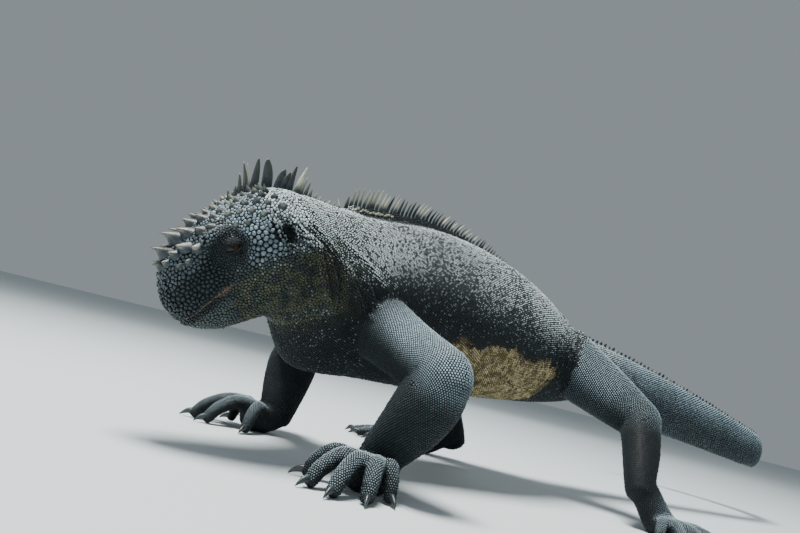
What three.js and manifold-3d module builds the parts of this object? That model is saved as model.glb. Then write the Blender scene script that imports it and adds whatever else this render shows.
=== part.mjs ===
// A marine iguana walking on the sea floor, life size, as a still model.
// Units are millimetres and +Z is up. The tail points along +X, the animal's left side faces -Y.
// The shapes are worked out with the floor point under the chest as zero. At the end the whole
// animal is moved so that zero is the middle of its footprint on the floor.

import * as THREE from 'three';
import { mergeVertices } from 'three/addons/utils/BufferGeometryUtils.js';
import Module from 'manifold-3d';

const wasm = await Module();
wasm.setup();

// Driving sizes.
const touchGap = 0.3; // kept between two pieces that meet
const headLength = 68; // back of the skull to the front of the lips
const eyeRadius = 5.6;
const lidThickness = 1.0;
const mouthGap = 0.4;
const nuchalSpineThickness = 2.2;
const dorsalSpinePitch = 4.3;
const dorsalSpineHeight = 12.8;
const tailSpinePitch = 8.5;
const spineSink = 2.2; // how deep a spine's root sits in the flesh
const bentSpineHeight = 5; // shorter spines are straight
const clawLength = 9;
const clawSink = 1.6; // how far a claw's root sits inside the end of its toe
const digitEndShare = 0.8; // girth of a toe at its end, against its girth at the middle
const floorHeight = 0;
const coneSink = 1.6; // how deep a conical scale's root sits in the head

// How finely each form is faceted.
const bodySides = 20;
const tailSides = 14;
const tailRows = 5; // rings in each length of the tail
const headSides = 20;
const limbSides = 12;
const palmSides = 10;
const digitSides = 7;
const clawSides = 5;
const coneSides = 5;

// The fleshy ridge under the spines of the back.
const dorsalStartX = -16;
const dorsalEndX = 150;
const ridgeHeight = 4.6;
const ridgeFootAngle = 0.085;

// The cuts that part the body across its length.
const headNeckCutX = -57;
const neckTorsoCutX = -20;
const torsoTailCutX = 236;
const tailCutStations = [18.5, 21.4, 23.1, 25.2];

const vector = (x, y, z) => new THREE.Vector3(x, y, z);
const upward = vector(0, 0, 1);

// Random numbers that are the same in every run.
function seededRandom(seed) {
  let state = seed;
  return () => {
    state = (state + 0x6d2b79f5) | 0;
    let mixed = Math.imul(state ^ (state >>> 15), 1 | state);
    mixed = (mixed + Math.imul(mixed ^ (mixed >>> 7), 61 | mixed)) ^ mixed;
    return ((mixed ^ (mixed >>> 14)) >>> 0) / 4294967296;
  };
}

// Solids and meshes.

function solidFrom(geometry) {
  const plain = geometry.clone();
  plain.deleteAttribute('normal');
  plain.deleteAttribute('uv');
  const merged = mergeVertices(plain, 1e-4);
  return new wasm.Manifold(
    new wasm.Mesh({
      numProp: 3,
      vertProperties: new Float32Array(merged.attributes.position.array),
      triVerts: new Uint32Array(merged.index.array),
    }),
  );
}

function joined(solids) {
  return wasm.Manifold.union(solids);
}

function largestBody(solid) {
  const bodies = solid.decompose();
  bodies.sort((a, b) => b.volume() - a.volume());
  return bodies[0];
}

// Keeps what lies on the side of the plane that the direction points to.
function keptBeyond(solid, point, direction) {
  const unit = direction.clone().normalize();
  return solid.trimByPlane(unit.toArray(), unit.dot(point));
}

function geometryFrom(solid, pivot) {
  const mesh = solid.getMesh();
  const geometry = new THREE.BufferGeometry();
  const positions = new Float32Array(mesh.numVert * 3);
  for (let vertex = 0; vertex < mesh.numVert; vertex += 1) {
    for (let axis = 0; axis < 3; axis += 1) {
      positions[vertex * 3 + axis] = mesh.vertProperties[vertex * mesh.numProp + axis];
    }
  }
  geometry.setAttribute('position', new THREE.BufferAttribute(positions, 3));
  geometry.setIndex(new THREE.BufferAttribute(new Uint32Array(mesh.triVerts), 1));
  geometry.translate(-pivot.x, -pivot.y, -pivot.z);
  geometry.computeVertexNormals();
  return geometry;
}

// Lofts: a closed skin over rings that follow a smooth path.

// A station is a place on the path with the reach of the flesh around it: half is sideways,
// up and down are above and below. square 2 is an ellipse, more is boxier, less is sharper.
function station(at, half, up, down, square = 2) {
  return { x: at[0], y: at[1], z: at[2], half, up, down, square };
}

const stationKeys = ['x', 'y', 'z', 'half', 'up', 'down', 'square'];

// The usual smooth cubic through the middle two of four values.
function blendFour(a, b, c, d, t) {
  return b + 0.5 * t * (c - a + t * (2 * a - 5 * b + 4 * c - d + t * (3 * (b - c) + d - a)));
}

function stationAt(stations, place) {
  const last = stations.length - 1;
  const index = Math.min(Math.floor(place), last - 1);
  const t = place - index;
  const result = {};
  for (const key of stationKeys) {
    const b = stations[index][key];
    const c = stations[index + 1][key];
    const a = index > 0 ? stations[index - 1][key] : 2 * b - c;
    const d = index + 2 <= last ? stations[index + 2][key] : 2 * c - b;
    result[key] = blendFour(a, b, c, d, t);
  }
  return result;
}

// The three directions of a ring. The reference is either which way is up for the ring, or, for
// a limb, which way is sideways: square to the plane in which the limb bends.
function ringAxes(stations, place, reference) {
  const last = stations.length - 1;
  const before = stationAt(stations, Math.max(place - 0.05, 0));
  const after = stationAt(stations, Math.min(place + 0.05, last));
  const along = vector(after.x - before.x, after.y - before.y, after.z - before.z).normalize();
  if (reference.along) along.copy(reference.along);
  let up;
  let side;
  if (reference.up) {
    up = reference.up.clone().addScaledVector(along, -reference.up.dot(along)).normalize();
    side = vector(0, 0, 0).crossVectors(along, up);
  } else {
    side = reference.side.clone().addScaledVector(along, -reference.side.dot(along)).normalize();
    up = vector(0, 0, 0).crossVectors(side, along);
  }
  return { along, up, side };
}

function superellipse(angle, square) {
  const c = Math.cos(angle);
  const s = Math.sin(angle);
  const power = 2 / square;
  return [Math.sign(c) * Math.abs(c) ** power, Math.sign(s) * Math.abs(s) ** power];
}

// A point of the skin: place along the stations, angle 0 on one side and 90 degrees on top.
function skinPoint(stations, reference, place, angle, grow = 0) {
  const ring = stationAt(stations, place);
  const axes = ringAxes(stations, place, reference);
  const [across, height] = superellipse(angle, ring.square);
  const reach = height > 0 ? ring.up : ring.down;
  return vector(ring.x, ring.y, ring.z)
    .addScaledVector(axes.side, across * (ring.half + grow))
    .addScaledVector(axes.up, height * (reach + grow));
}

const capSteps = [0.5, 0.85];

function evenAngles(sides) {
  return Array.from({ length: sides }, (_, side) => (2 * Math.PI * side) / sides);
}

function loft(stations, reference, options = {}) {
  const { steps = 2, startCap = 0, endCap = 0, grow = 0, ridge = null } = options;
  const angles = options.angles ?? evenAngles(options.sides ?? 16);
  const sides = angles.length;
  const rings = [];
  const addRing = (place, scale, push) => {
    const centre = stationAt(stations, place);
    const { along, up } = ringAxes(stations, place, reference);
    const middle = vector(centre.x, centre.y, centre.z);
    const ring = angles.map((angle) => {
      const point = skinPoint(stations, reference, place, angle, grow);
      if (ridge && angle === Math.PI / 2) point.addScaledVector(up, ridge(point.x));
      return point.sub(middle).multiplyScalar(scale).add(middle).addScaledVector(along, push);
    });
    rings.push({ ring, middle: middle.addScaledVector(along, push), along });
  };
  const last = stations.length - 1;
  if (startCap > 0) {
    for (const step of [...capSteps].reverse()) {
      addRing(0, Math.sqrt(1 - step * step), -step * (startCap + grow));
    }
  }
  for (let count = 0; count <= last * steps; count += 1) addRing(count / steps, 1, 0);
  if (endCap > 0) {
    for (const step of capSteps) addRing(last, Math.sqrt(1 - step * step), step * (endCap + grow));
  }

  const positions = [];
  const triangles = [];
  for (const { ring } of rings) for (const point of ring) positions.push(...point.toArray());
  for (let row = 0; row + 1 < rings.length; row += 1) {
    for (let side = 0; side < sides; side += 1) {
      const next = (side + 1) % sides;
      const a = row * sides + side;
      const b = row * sides + next;
      const c = (row + 1) * sides + next;
      const d = (row + 1) * sides + side;
      triangles.push(a, c, b, a, d, c);
    }
  }
  const first = rings[0];
  const final = rings[rings.length - 1];
  const startTip = first.middle.clone().addScaledVector(first.along, -0.15 * startCap);
  const endTip = final.middle.clone().addScaledVector(final.along, 0.15 * endCap);
  const startIndex = positions.length / 3;
  positions.push(...startTip.toArray(), ...endTip.toArray());
  for (let side = 0; side < sides; side += 1) {
    const next = (side + 1) % sides;
    const base = (rings.length - 1) * sides;
    triangles.push(startIndex, side, next);
    triangles.push(startIndex + 1, base + next, base + side);
  }
  const geometry = new THREE.BufferGeometry();
  geometry.setAttribute('position', new THREE.BufferAttribute(new Float32Array(positions), 3));
  geometry.setIndex(triangles);
  let solid = solidFrom(geometry);
  if (solid.volume() < 0) {
    for (let i = 0; i < triangles.length; i += 3) {
      [triangles[i], triangles[i + 1]] = [triangles[i + 1], triangles[i]];
    }
    geometry.setIndex(triangles);
    solid = solidFrom(geometry);
  }
  return solid;
}

// A flattened, tapered spine with a four-cornered section. It stands on its root along the
// direction, is wide along the second direction and leans that way by the given amount.
function spine(root, direction, wideWay, { tall, wide, thick, lean = 0, sink = spineSink }) {
  const across = vector(0, 0, 0).crossVectors(direction, wideWay).normalize();
  const levels = [[-sink, 1, 0]];
  if (tall > bentSpineHeight) levels.push([tall * 0.5, 0.82, lean * 0.3]);
  const points = [];
  for (const [height, scale, shift] of levels) {
    const middle = root.clone().addScaledVector(direction, height).addScaledVector(wideWay, shift);
    points.push(middle.clone().addScaledVector(wideWay, (wide * scale) / 2));
    points.push(middle.clone().addScaledVector(across, (thick * scale) / 2));
    points.push(middle.clone().addScaledVector(wideWay, (-wide * scale) / 2));
    points.push(middle.clone().addScaledVector(across, (-thick * scale) / 2));
  }
  points.push(root.clone().addScaledVector(direction, tall).addScaledVector(wideWay, lean));
  const triangles = [0, 2, 1, 0, 3, 2];
  const tip = levels.length * 4;
  for (let corner = 0; corner < 4; corner += 1) {
    const next = (corner + 1) % 4;
    if (levels.length > 1) triangles.push(corner, next, 4 + next, corner, 4 + next, 4 + corner);
    triangles.push(tip - 4 + corner, tip - 4 + next, tip);
  }
  const geometry = new THREE.BufferGeometry();
  geometry.setAttribute('position', new THREE.BufferAttribute(
    new Float32Array(points.flatMap((point) => point.toArray())), 3));
  geometry.setIndex(triangles);
  return solidFrom(geometry);
}

function ellipsoid(centre, axes, radii, across = 11, high = 8) {
  const geometry = new THREE.SphereGeometry(1, across, high);
  const matrix = new THREE.Matrix4().makeBasis(
    axes[0].clone().multiplyScalar(radii[0]),
    axes[1].clone().multiplyScalar(radii[1]),
    axes[2].clone().multiplyScalar(radii[2]),
  );
  matrix.setPosition(centre);
  geometry.applyMatrix4(matrix);
  return solidFrom(geometry);
}

// The trunk and tail: one body from the nape to the tip of the tail.

// The rings of the trunk stand upright across its length, those of the tail square to its path.
const trunkWay = { up: upward, along: vector(1, 0, 0) };
const tailWay = { up: upward };
const bodyStations = [
  station([-76, -8, 101], 20, 24, 20),
  station([-62, -8.8, 100.5], 27, 32.5, 27),
  station([-49.5, -8.6, 99.5], 30, 36, 30.5),
  station([-41, -7.8, 98], 31, 37.8, 32),
  station([-34, -6.8, 96.8], 33, 39.4, 42, 1.9),
  station([-25, -5.4, 96], 36.6, 40.8, 48.6, 1.95),
  station([-6, -2, 95.2], 40.5, 43.4, 48.4),
  station([18, 1.5, 95.8], 42, 46.8, 47.6),
  station([50, 4.2, 97.8], 46, 50, 49, 2.1),
  station([85, 5.7, 98.6], 51, 50, 49, 2.2),
  station([120, 5, 98.2], 51, 46.2, 46, 2.2),
  station([153, 3.3, 96.5], 45, 40.6, 41.5, 2.1),
  station([184, 1, 93.6], 37, 34, 35.6),
  station([210, 0, 91.8], 30, 27, 30),
  station([236, -0.6, 91], 24.5, 24.6, 24.5),
  station([268, -4.2, 88.6], 19, 24.6, 22.5, 1.95),
  station([306, -10.2, 84.8], 15, 24, 22, 1.9),
  station([348, -16.8, 80], 12.6, 23.2, 21.2, 1.85),
  station([391, -22.9, 75], 11, 21.6, 19.8, 1.85),
  station([434, -29.4, 69.8], 9.8, 19.6, 18, 1.85),
  station([472, -34.4, 65.3], 8.8, 18, 16.4, 1.85),
  station([503, -34.2, 62.3], 8, 16.6, 15, 1.85),
  station([526, -22.4, 61.2], 7.2, 15.2, 13.6, 1.85),
  station([541, 0, 61.2], 6.4, 13.8, 12.2, 1.85),
  station([546, 28, 61.8], 5.6, 12.2, 10.6, 1.85),
  station([543, 58, 62.4], 4.8, 10.4, 8.8, 1.85),
  station([534, 88, 63], 4, 8.2, 6.8, 1.9),
  station([520, 116, 63.6], 3, 5.6, 4.6, 1.95),
  station([504, 140, 64], 1.8, 2.8, 2.4),
];
const tailStart = 14; // the station over the vent

function trunkSolid(grow = 0) {
  const trunk = bodyStations.slice(0, tailStart + 2);
  const angles = evenAngles(bodySides);
  const top = angles.indexOf(Math.PI / 2);
  angles.splice(top + 1, 0, Math.PI / 2 + ridgeFootAngle);
  angles.splice(top, 0, Math.PI / 2 - ridgeFootAngle);
  const ridge = grow > 0 ? null : ridgeRise;
  return loft(trunk, trunkWay, { angles, steps: 1, startCap: 10, endCap: 2, grow, ridge });
}

// How high the ridge stands on the back at this place.
function ridgeRise(x) {
  const start = THREE.MathUtils.smoothstep(x, dorsalStartX - 6, dorsalStartX + 6);
  const end = 1 - THREE.MathUtils.smoothstep(x, dorsalEndX - 60, dorsalEndX + 70);
  return ridgeHeight * start * (0.15 + 0.85 * end) * (x > dorsalStartX - 6 ? 1 : 0);
}

// The line of the back, where the crest grows, as places on the stations by distance.
const backLine = [];
const bodyWay = (place) => (place <= tailStart ? trunkWay : tailWay);
{
  let distance = 0;
  let previous = null;
  for (let place = 1; place <= bodyStations.length - 1; place += 0.05) {
    const point = skinPoint(bodyStations, bodyWay(place), place, Math.PI / 2);
    if (previous) distance += point.distanceTo(previous);
    backLine.push({ place, distance, point });
    previous = point;
  }
}

function backAt(distance) {
  const entry = backLine.find((item) => item.distance >= distance) ?? backLine[backLine.length - 1];
  const axes = ringAxes(bodyStations, entry.place, bodyWay(entry.place));
  return { point: entry.point, place: entry.place, ...axes };
}

function backDistanceAtX(x) {
  return backLine.find((item) => item.point.x >= x).distance;
}

// The head, in its own frame: forward from the skull's joint with the neck, up, and to the left.

const skullJoint = vector(-55.9, -9.9, 109.6);
const headForward = vector(-0.786, 0.105, -0.61).normalize();
const headUp = vector(-0.604, 0.081, 0.793)
  .addScaledVector(headForward, -vector(-0.604, 0.081, 0.793).dot(headForward))
  .normalize();
const headLeft = vector(0, 0, 0).crossVectors(headUp, headForward).normalize();
const headAxes = [headForward, headLeft, headUp];

function headPoint(forward, left, up) {
  return skullJoint.clone()
    .addScaledVector(headForward, forward)
    .addScaledVector(headLeft, left)
    .addScaledVector(headUp, up);
}

// Each row: how far forward, the height of the profile above and below, half the width.
const headProfile = [
  { forward: -22, top: 10, bottom: -26, half: 20, square: 2 },
  { forward: -12, top: 22, bottom: -31, half: 26, square: 2.1 },
  { forward: -2, top: 27.5, bottom: -34, half: 28.5, square: 2.2 },
  { forward: 8, top: 29.5, bottom: -34.2, half: 29.5, square: 2.3 },
  { forward: 17, top: 29.5, bottom: -32.4, half: 29, square: 2.35 },
  { forward: 26, top: 28.5, bottom: -30.6, half: 26.5, square: 2.4 },
  { forward: 34, top: 27, bottom: -29.5, half: 23, square: 2.4 },
  { forward: 42, top: 24.5, bottom: -28.6, half: 20, square: 2.4 },
  { forward: 49, top: 21.5, bottom: -27.4, half: 18, square: 2.4 },
  { forward: 55.5, top: 18.2, bottom: -24.4, half: 16, square: 2.3 },
  { forward: 61, top: 14.6, bottom: -21.2, half: 13.8, square: 2.2 },
  { forward: 64.4, top: 9.6, bottom: -16.5, half: 11, square: 2.1 },
  { forward: 66.9, top: 2.8, bottom: -12.4, half: 7.4, square: 2 },
  { forward: headLength, top: -2.2, bottom: -8.6, half: 3.4, square: 2 },
];
const headReference = { up: headUp, along: headForward };
const headStations = headProfile.map(({ forward, top, bottom, half, square }) => {
  const middle = (top + bottom) / 2;
  const reach = (top - bottom) / 2;
  return station(headPoint(forward, 0, middle).toArray(), half, reach, reach, square);
});
// The place on the head's stations that is this far forward.
function headPlace(forward) {
  for (let index = 0; index + 1 < headProfile.length; index += 1) {
    const from = headProfile[index].forward;
    const to = headProfile[index + 1].forward;
    if (forward <= to) return index + (forward - from) / (to - from);
  }
  return headProfile.length - 1;
}

// Half the width of the head at a point of its profile.
function headHalfWidth(forward, up) {
  const ring = stationAt(headStations, headPlace(forward));
  const middle = vector(ring.x, ring.y, ring.z).sub(skullJoint).dot(headUp);
  const height = Math.min(Math.abs(up - middle) / ring.up, 0.999);
  return ring.half * (1 - height ** ring.square) ** (1 / ring.square);
}

// A point on the head's skin and the way out of it, by how far forward and the angle round it.
function headSkin(forward, angle) {
  const place = headPlace(forward);
  const point = skinPoint(headStations, headReference, place, angle);
  const along = skinPoint(headStations, headReference, place + 0.1, angle).sub(point);
  const around = skinPoint(headStations, headReference, place, angle + 0.05).sub(point);
  const out = vector(0, 0, 0).crossVectors(along, around).normalize();
  const ring = stationAt(headStations, place);
  if (out.dot(point.clone().sub(vector(ring.x, ring.y, ring.z))) < 0) out.negate();
  return { point, out };
}

// The eye, its hollow, and the two lids over it.

const eyePlace = { forward: 35.4, up: 10.4 };
const eyeSink = 3.2; // how far the middle of the eyeball lies under the side of the head

function eyeCentre(side) {
  const half = headHalfWidth(eyePlace.forward, eyePlace.up);
  return headPoint(eyePlace.forward, side * (half - eyeSink), eyePlace.up);
}

function eyeSphere(side, grow = 0) {
  const radius = eyeRadius + grow;
  return ellipsoid(eyeCentre(side), headAxes, [radius, radius, radius]);
}

// The slit between the lids, longer than it is high.
function eyeOpening(side) {
  const centre = eyeCentre(side).addScaledVector(headLeft, side * (eyeRadius + 1));
  return ellipsoid(centre, headAxes, [4.6, 5.2, 2.9]);
}

function browRidge(side) {
  const half = headHalfWidth(eyePlace.forward, 17);
  const centre = headPoint(eyePlace.forward + 1, side * (half - 1.5), 17.6);
  return ellipsoid(centre, headAxes, [11, 4.2, 3.2], 12, 6);
}

function nostril(side) {
  return ellipsoid(headPoint(65.2, side * 6, 5), headAxes, [2.6, 1.8, 1.4], 8, 6);
}

function earCup(side) {
  const half = headHalfWidth(9, 7.5);
  return ellipsoid(headPoint(9, side * (half + 0.6), 7.5), headAxes, [3.6, 4.2, 5.4], 10, 8);
}

function earFold(side) {
  const half = headHalfWidth(15, 7.5);
  return ellipsoid(headPoint(15.2, side * (half - 1.2), 8), headAxes, [2.2, 3, 8.2], 8, 6);
}

// The line of the mouth from beyond its corner to the front of the lips.
const mouthLine = [
  [40.5, -6.2],
  [48, -8.0],
  [55.5, -10.9],
  [61, -13.8],
  [66, -16.2],
];
const jawHinge = [33.5, -13];
const jawThroat = [27, -52];
const beyondSnout = 82;

// The space of the lower jaw, grown or shrunk by the given distance, across the whole head.
function jawSpace(grow) {
  const outline = [
    [beyondSnout, -19 + grow],
    ...mouthLine.slice().reverse().map(([forward, up]) => [forward - grow * 0.4, up + grow]),
    [jawHinge[0] - grow, jawHinge[1] + grow * 0.5],
    [jawThroat[0] - grow, jawThroat[1]],
    [beyondSnout, jawThroat[1]],
  ];
  const shape = new THREE.Shape(outline.map(([forward, up]) => new THREE.Vector2(forward, up)));
  const geometry = new THREE.ExtrudeGeometry(shape, { depth: 80, bevelEnabled: false });
  geometry.translate(0, 0, -40);
  const matrix = new THREE.Matrix4().makeBasis(headForward, headUp, headLeft.clone().negate());
  matrix.setPosition(skullJoint);
  geometry.applyMatrix4(matrix);
  const solid = solidFrom(geometry);
  return solid.volume() > 0 ? solid : solidFrom(flipped(geometry));
}

function flipped(geometry) {
  const plain = mergeVertices(geometry.clone().deleteAttribute('normal').deleteAttribute('uv'));
  const index = plain.index.array;
  for (let i = 0; i < index.length; i += 3) [index[i], index[i + 1]] = [index[i + 1], index[i]];
  return plain;
}

// A lip: a low roll of flesh along the mouth on one side, above or below its line.
function lip(side, offset) {
  const stations = mouthLine.slice(0, 4).map(([forward, up]) => {
    const height = up + offset;
    const half = headHalfWidth(forward, height);
    return station(headPoint(forward, side * (half - 0.5), height).toArray(), 1.5, 1.3, 1.3);
  });
  return loft(stations, { up: headUp }, { sides: 6, steps: 1, startCap: 1.4, endCap: 1.4 });
}

// Conical scales: rows across the top of the head, growing towards the snout.

function headCone(forward, angle, radius, height, lean) {
  const { point, out } = headSkin(forward, angle);
  const direction = out.clone().addScaledVector(headForward, lean).normalize();
  const geometry = new THREE.ConeGeometry(radius, height + coneSink, coneSides);
  geometry.translate(0, (height - coneSink) / 2, 0);
  const turn = new THREE.Quaternion().setFromUnitVectors(vector(0, 1, 0), direction);
  geometry.applyQuaternion(turn);
  geometry.translate(point.x, point.y, point.z);
  return solidFrom(geometry);
}

const snoutHorns = [
  { forward: 40.5, height: 4.4, radius: 3.1 },
  { forward: 46.3, height: 6.4, radius: 3.7 },
  { forward: 52.8, height: 7.8, radius: 4.1 },
  { forward: 59, height: 5.8, radius: 3.6 },
  { forward: 63.2, height: 2.8, radius: 2.5 },
];
const snoutRowAngles = [90, 62, 118, 36, 144];

function snoutCones() {
  const random = seededRandom(11);
  const cones = [];
  for (const row of snoutHorns) {
    for (const degrees of snoutRowAngles) {
      const outward = Math.abs(degrees - 90) / 90;
      const size = 1 - 0.55 * outward + 0.12 * (random() - 0.5);
      const forward = row.forward - 5 * outward + random() - 0.5;
      const angle = THREE.MathUtils.degToRad(degrees);
      cones.push(headCone(forward, angle, row.radius * (1 - 0.2 * outward), row.height * size, 0.4));
    }
  }
  return cones;
}

const crownRows = { from: 2, to: 38, pitch: 6.2 };
const crownAngles = [147, 128, 109, 90, 71, 52, 33];

function crownCones() {
  const random = seededRandom(23);
  const cones = [];
  let row = 0;
  for (let forward = crownRows.from; forward <= crownRows.to; forward += crownRows.pitch) {
    for (const degrees of crownAngles) {
      const angle = THREE.MathUtils.degToRad(degrees + (row % 2 ? 5 : -4) + 4 * (random() - 0.5));
      const growth = 0.6 + 0.4 * Math.sin((Math.PI * (forward + 6)) / 48);
      const height = (1.9 + 0.8 * random()) * growth;
      cones.push(headCone(forward + random() * 1.6, angle, 2.7, height, 0.15));
    }
    row += 1;
  }
  return cones;
}

// Rows of larger scales on the temple, between the eye and the ear.
function templeCones() {
  const random = seededRandom(37);
  const cones = [];
  for (let row = 0; row < 3; row += 1) {
    for (let count = 0; count < 3; count += 1) {
      const forward = 15 + row * 5.2 + random();
      const up = 14 - count * 5 - row * 0.6;
      const ring = stationAt(headStations, headPlace(forward));
      const middle = vector(ring.x, ring.y, ring.z).sub(skullJoint).dot(headUp);
      const sine = Math.min((up - middle) / ring.up, 1) ** (ring.square / 2);
      const angle = Math.asin(Math.min(sine, 1));
      const height = 2.1 + 0.6 * random();
      cones.push(headCone(forward, angle, 2.5, height, 0.1));
      cones.push(headCone(forward, Math.PI - angle, 2.5, height, 0.1));
    }
  }
  return cones;
}

// The spines of the nape, from the back of the head to the shoulders. The largest stand over
// the skull's joint, and one behind them is broken off.
const nuchalSpines = [
  { x: -92, tall: 3.4, wide: 2.4, lean: -1.6 },
  { x: -89.4, tall: 4.2, wide: 2.6, lean: -1 },
  { x: -85.6, tall: 10.4, wide: 3, lean: -2.4 },
  { x: -82.2, tall: 14.8, wide: 3.6, lean: -4.4 },
  { x: -78.8, tall: 16.4, wide: 4.8, lean: -0.6 },
  { x: -72.3, tall: 14.8, wide: 5.6, lean: -2.4 },
  { x: -65.2, tall: 10.6, wide: 5.6, lean: 2 },
  { x: -59.5, tall: 13.6, wide: 4.2, lean: 0.4 },
  { x: -54.6, tall: 14, wide: 3, lean: 1.8 },
  { x: -51.2, tall: 9.4, wide: 2.6, lean: 1.2 },
  { x: -47.6, tall: 7.6, wide: 2.4, lean: 0.5 },
  { x: -44, tall: 5.2, wide: 2.2, lean: 0.4 },
  { x: -40.4, tall: 3.8, wide: 2.2, lean: 0.6 },
  { x: -36.4, tall: 2.8, wide: 2.2, lean: 0.6 },
  { x: -32, tall: 3, wide: 2.2, lean: 0.8 },
  { x: -27.2, tall: 3.8, wide: 2.4, lean: 1 },
];

function headTopAtX(x) {
  for (let forward = -14; forward < 40; forward += 0.25) {
    const point = skinPoint(headStations, headReference, headPlace(forward), Math.PI / 2);
    if (point.x <= x) return point;
  }
  return headPoint(40, 0, 25);
}

function backTopAtX(x) {
  return backLine.find((item) => item.point.x >= x).point.clone();
}

function nuchalSpine({ x, tall, wide, lean }) {
  const onHead = headTopAtX(x);
  const onBack = backTopAtX(Math.max(x, -59));
  const root = x < -62 || onHead.z > onBack.z ? onHead : onBack;
  return spine(root, upward, vector(1, 0, 0), { tall, wide, thick: nuchalSpineThickness, lean });
}

// The crest of the back: a low fleshy ridge with a close row of spines. It starts behind the
// shoulders, sinks towards the hips and goes on as a low saw edge along the tail.

function ridgeTop(back) {
  return back.point.clone().addScaledVector(back.up, ridgeRise(back.point.x) - 0.6);
}

function dorsalSpines() {
  const random = seededRandom(53);
  const spines = [];
  const start = backDistanceAtX(dorsalStartX) + 1;
  const end = backDistanceAtX(torsoTailCutX) - 5;
  const full = backDistanceAtX(dorsalEndX);
  for (let distance = start; distance < end; distance += dorsalSpinePitch) {
    const back = backAt(distance);
    const through = (distance - start) / (full - start);
    const rise = Math.min(1, 0.7 + through * 3);
    const fall = THREE.MathUtils.clamp(1.28 - through * 0.86, 0.24, 1);
    const tall = dorsalSpineHeight * rise * fall * (0.88 + 0.24 * random());
    spines.push(spine(ridgeTop(back), back.up, back.along, {
      tall,
      wide: 3.4 * (0.75 + 0.25 * fall),
      thick: 2.1,
      lean: tall * (0.36 + 0.16 * (random() - 0.5)),
      sink: 3,
    }));
  }
  return spines;
}

// The saw edge of one length of the tail, between two distances along the back.
function tailSpines(from, to) {
  const random = seededRandom(71 + Math.round(from));
  const spines = [];
  const tip = backLine[backLine.length - 1].distance;
  for (let distance = from; distance < to; distance += tailSpinePitch) {
    const back = backAt(distance);
    const left = (tip - distance) / (tip - backDistanceAtX(torsoTailCutX));
    const tall = (1.4 + 2.6 * left) * (0.85 + 0.3 * random());
    const sunk = back.point.clone().addScaledVector(back.up, -0.4);
    spines.push(spine(sunk, back.up, back.along, {
      tall,
      wide: 4.4,
      thick: 1.9 + 0.8 * left,
      lean: tall * 0.35,
      sink: 1.6,
    }));
  }
  return spines;
}

// The limbs.

const flat = (degrees) => {
  const angle = THREE.MathUtils.degToRad(degrees);
  return vector(Math.cos(angle), Math.sin(angle), 0);
};

// Each limb bends in one plane: root in the trunk, middle joint, and the joint of hand or foot.
const limbs = {
  fore_left: {
    side: 1, kind: 'fore', root: vector(2, -20, 84), bend: vector(-2, -95, 62), end: vector(-6, -68, 19),
    heading: 205,
  },
  fore_right: {
    side: -1, kind: 'fore', root: vector(6, 20, 80), bend: vector(36, 77, 57), end: vector(24, 66, 16),
    heading: 158,
  },
  hind_left: {
    side: 1, kind: 'hind', root: vector(198, -14, 95), bend: vector(212, -79, 65), end: vector(187, -99, 27),
    ball: vector(193, -114, 8), heading: 250,
  },
  hind_right: {
    side: -1, kind: 'hind', root: vector(198, 14, 95), bend: vector(160, 72, 66), end: vector(190, 64, 20),
    ball: vector(176, 78, 8), heading: 124,
  },
};

// Half the thickness along each limb; bow is how far the flesh of the lower limb swells outward.
const armGirth = { root: 20, upper: 16.2, bend: 16.2, lower: 17, end: 11.6, bow: 3.4 };
const legGirth = { root: 24, upper: 18.8, bend: 14.5, lower: 12.8, end: 9.8, bow: 0.8 };

// Where the flesh bends: a little inside the corner that the two bones make.
function elbowPlace({ root, bend, end }) {
  const into = root.clone().lerp(bend, 0.86);
  const outOf = bend.clone().lerp(end, 0.16);
  return into.lerp(outOf, 0.5).lerp(bend, 0.45);
}

// Upper and lower limb are two straight tapered forms that share a round elbow or knee, so that
// no ring crosses another on the inside of the bend.
function limbSolid(limb) {
  const { root, bend, end, kind } = limb;
  const girth = kind === 'fore' ? armGirth : legGirth;
  const elbow = elbowPlace(limb);
  const sideways = vector(0, 0, 0)
    .crossVectors(bend.clone().sub(root), end.clone().sub(bend))
    .normalize();
  const row = (from, to, share, size, thin = 1) => {
    const point = from.clone().lerp(to, share);
    return station(point.toArray(), size * thin, size, size);
  };
  const upper = [
    row(root, elbow, 0, girth.root),
    row(root, elbow, 0.57, girth.upper),
    row(root, elbow, 1, girth.bend * 0.97, 0.97),
  ];
  const lower = [
    row(elbow, end, 0, girth.bend * 0.97, 0.97),
    row(elbow, end, 0.3, girth.lower, 0.95),
    row(elbow, end, 0.62, girth.lower * 0.92, 0.95),
    row(elbow, end, 1, girth.end),
    row(elbow, end, 1.16, girth.end * 0.9),
  ];
  const outward = bend.clone().sub(root.clone().lerp(end, 0.5)).normalize();
  for (const index of [1, 2]) {
    for (const key of ['x', 'y', 'z']) lower[index][key] += outward[key] * girth.bow;
  }
  const round = girth.bend * 0.95;
  const way = { side: sideways };
  return joined([
    loft(upper, way, { sides: limbSides, steps: 1, startCap: 5, endCap: round }),
    loft(lower, way, { sides: limbSides, steps: 1, startCap: round, endCap: 4 }),
  ]);
}

// The plane through the middle joint, half way between the directions of its two bones.
function bendPlane({ root, bend, end }) {
  const first = bend.clone().sub(root).normalize();
  const second = end.clone().sub(bend).normalize();
  return { point: bend, direction: first.add(second).normalize() };
}

// The plane through the wrist or ankle, half way between the lower bone and the hand or foot.
function endPlane(limb) {
  const first = limb.end.clone().sub(limb.bend).normalize();
  const onward = limb.ball ? limb.ball.clone().sub(limb.end).normalize() : flat(limb.heading);
  return { point: limb.end, direction: first.add(onward).normalize() };
}

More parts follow.
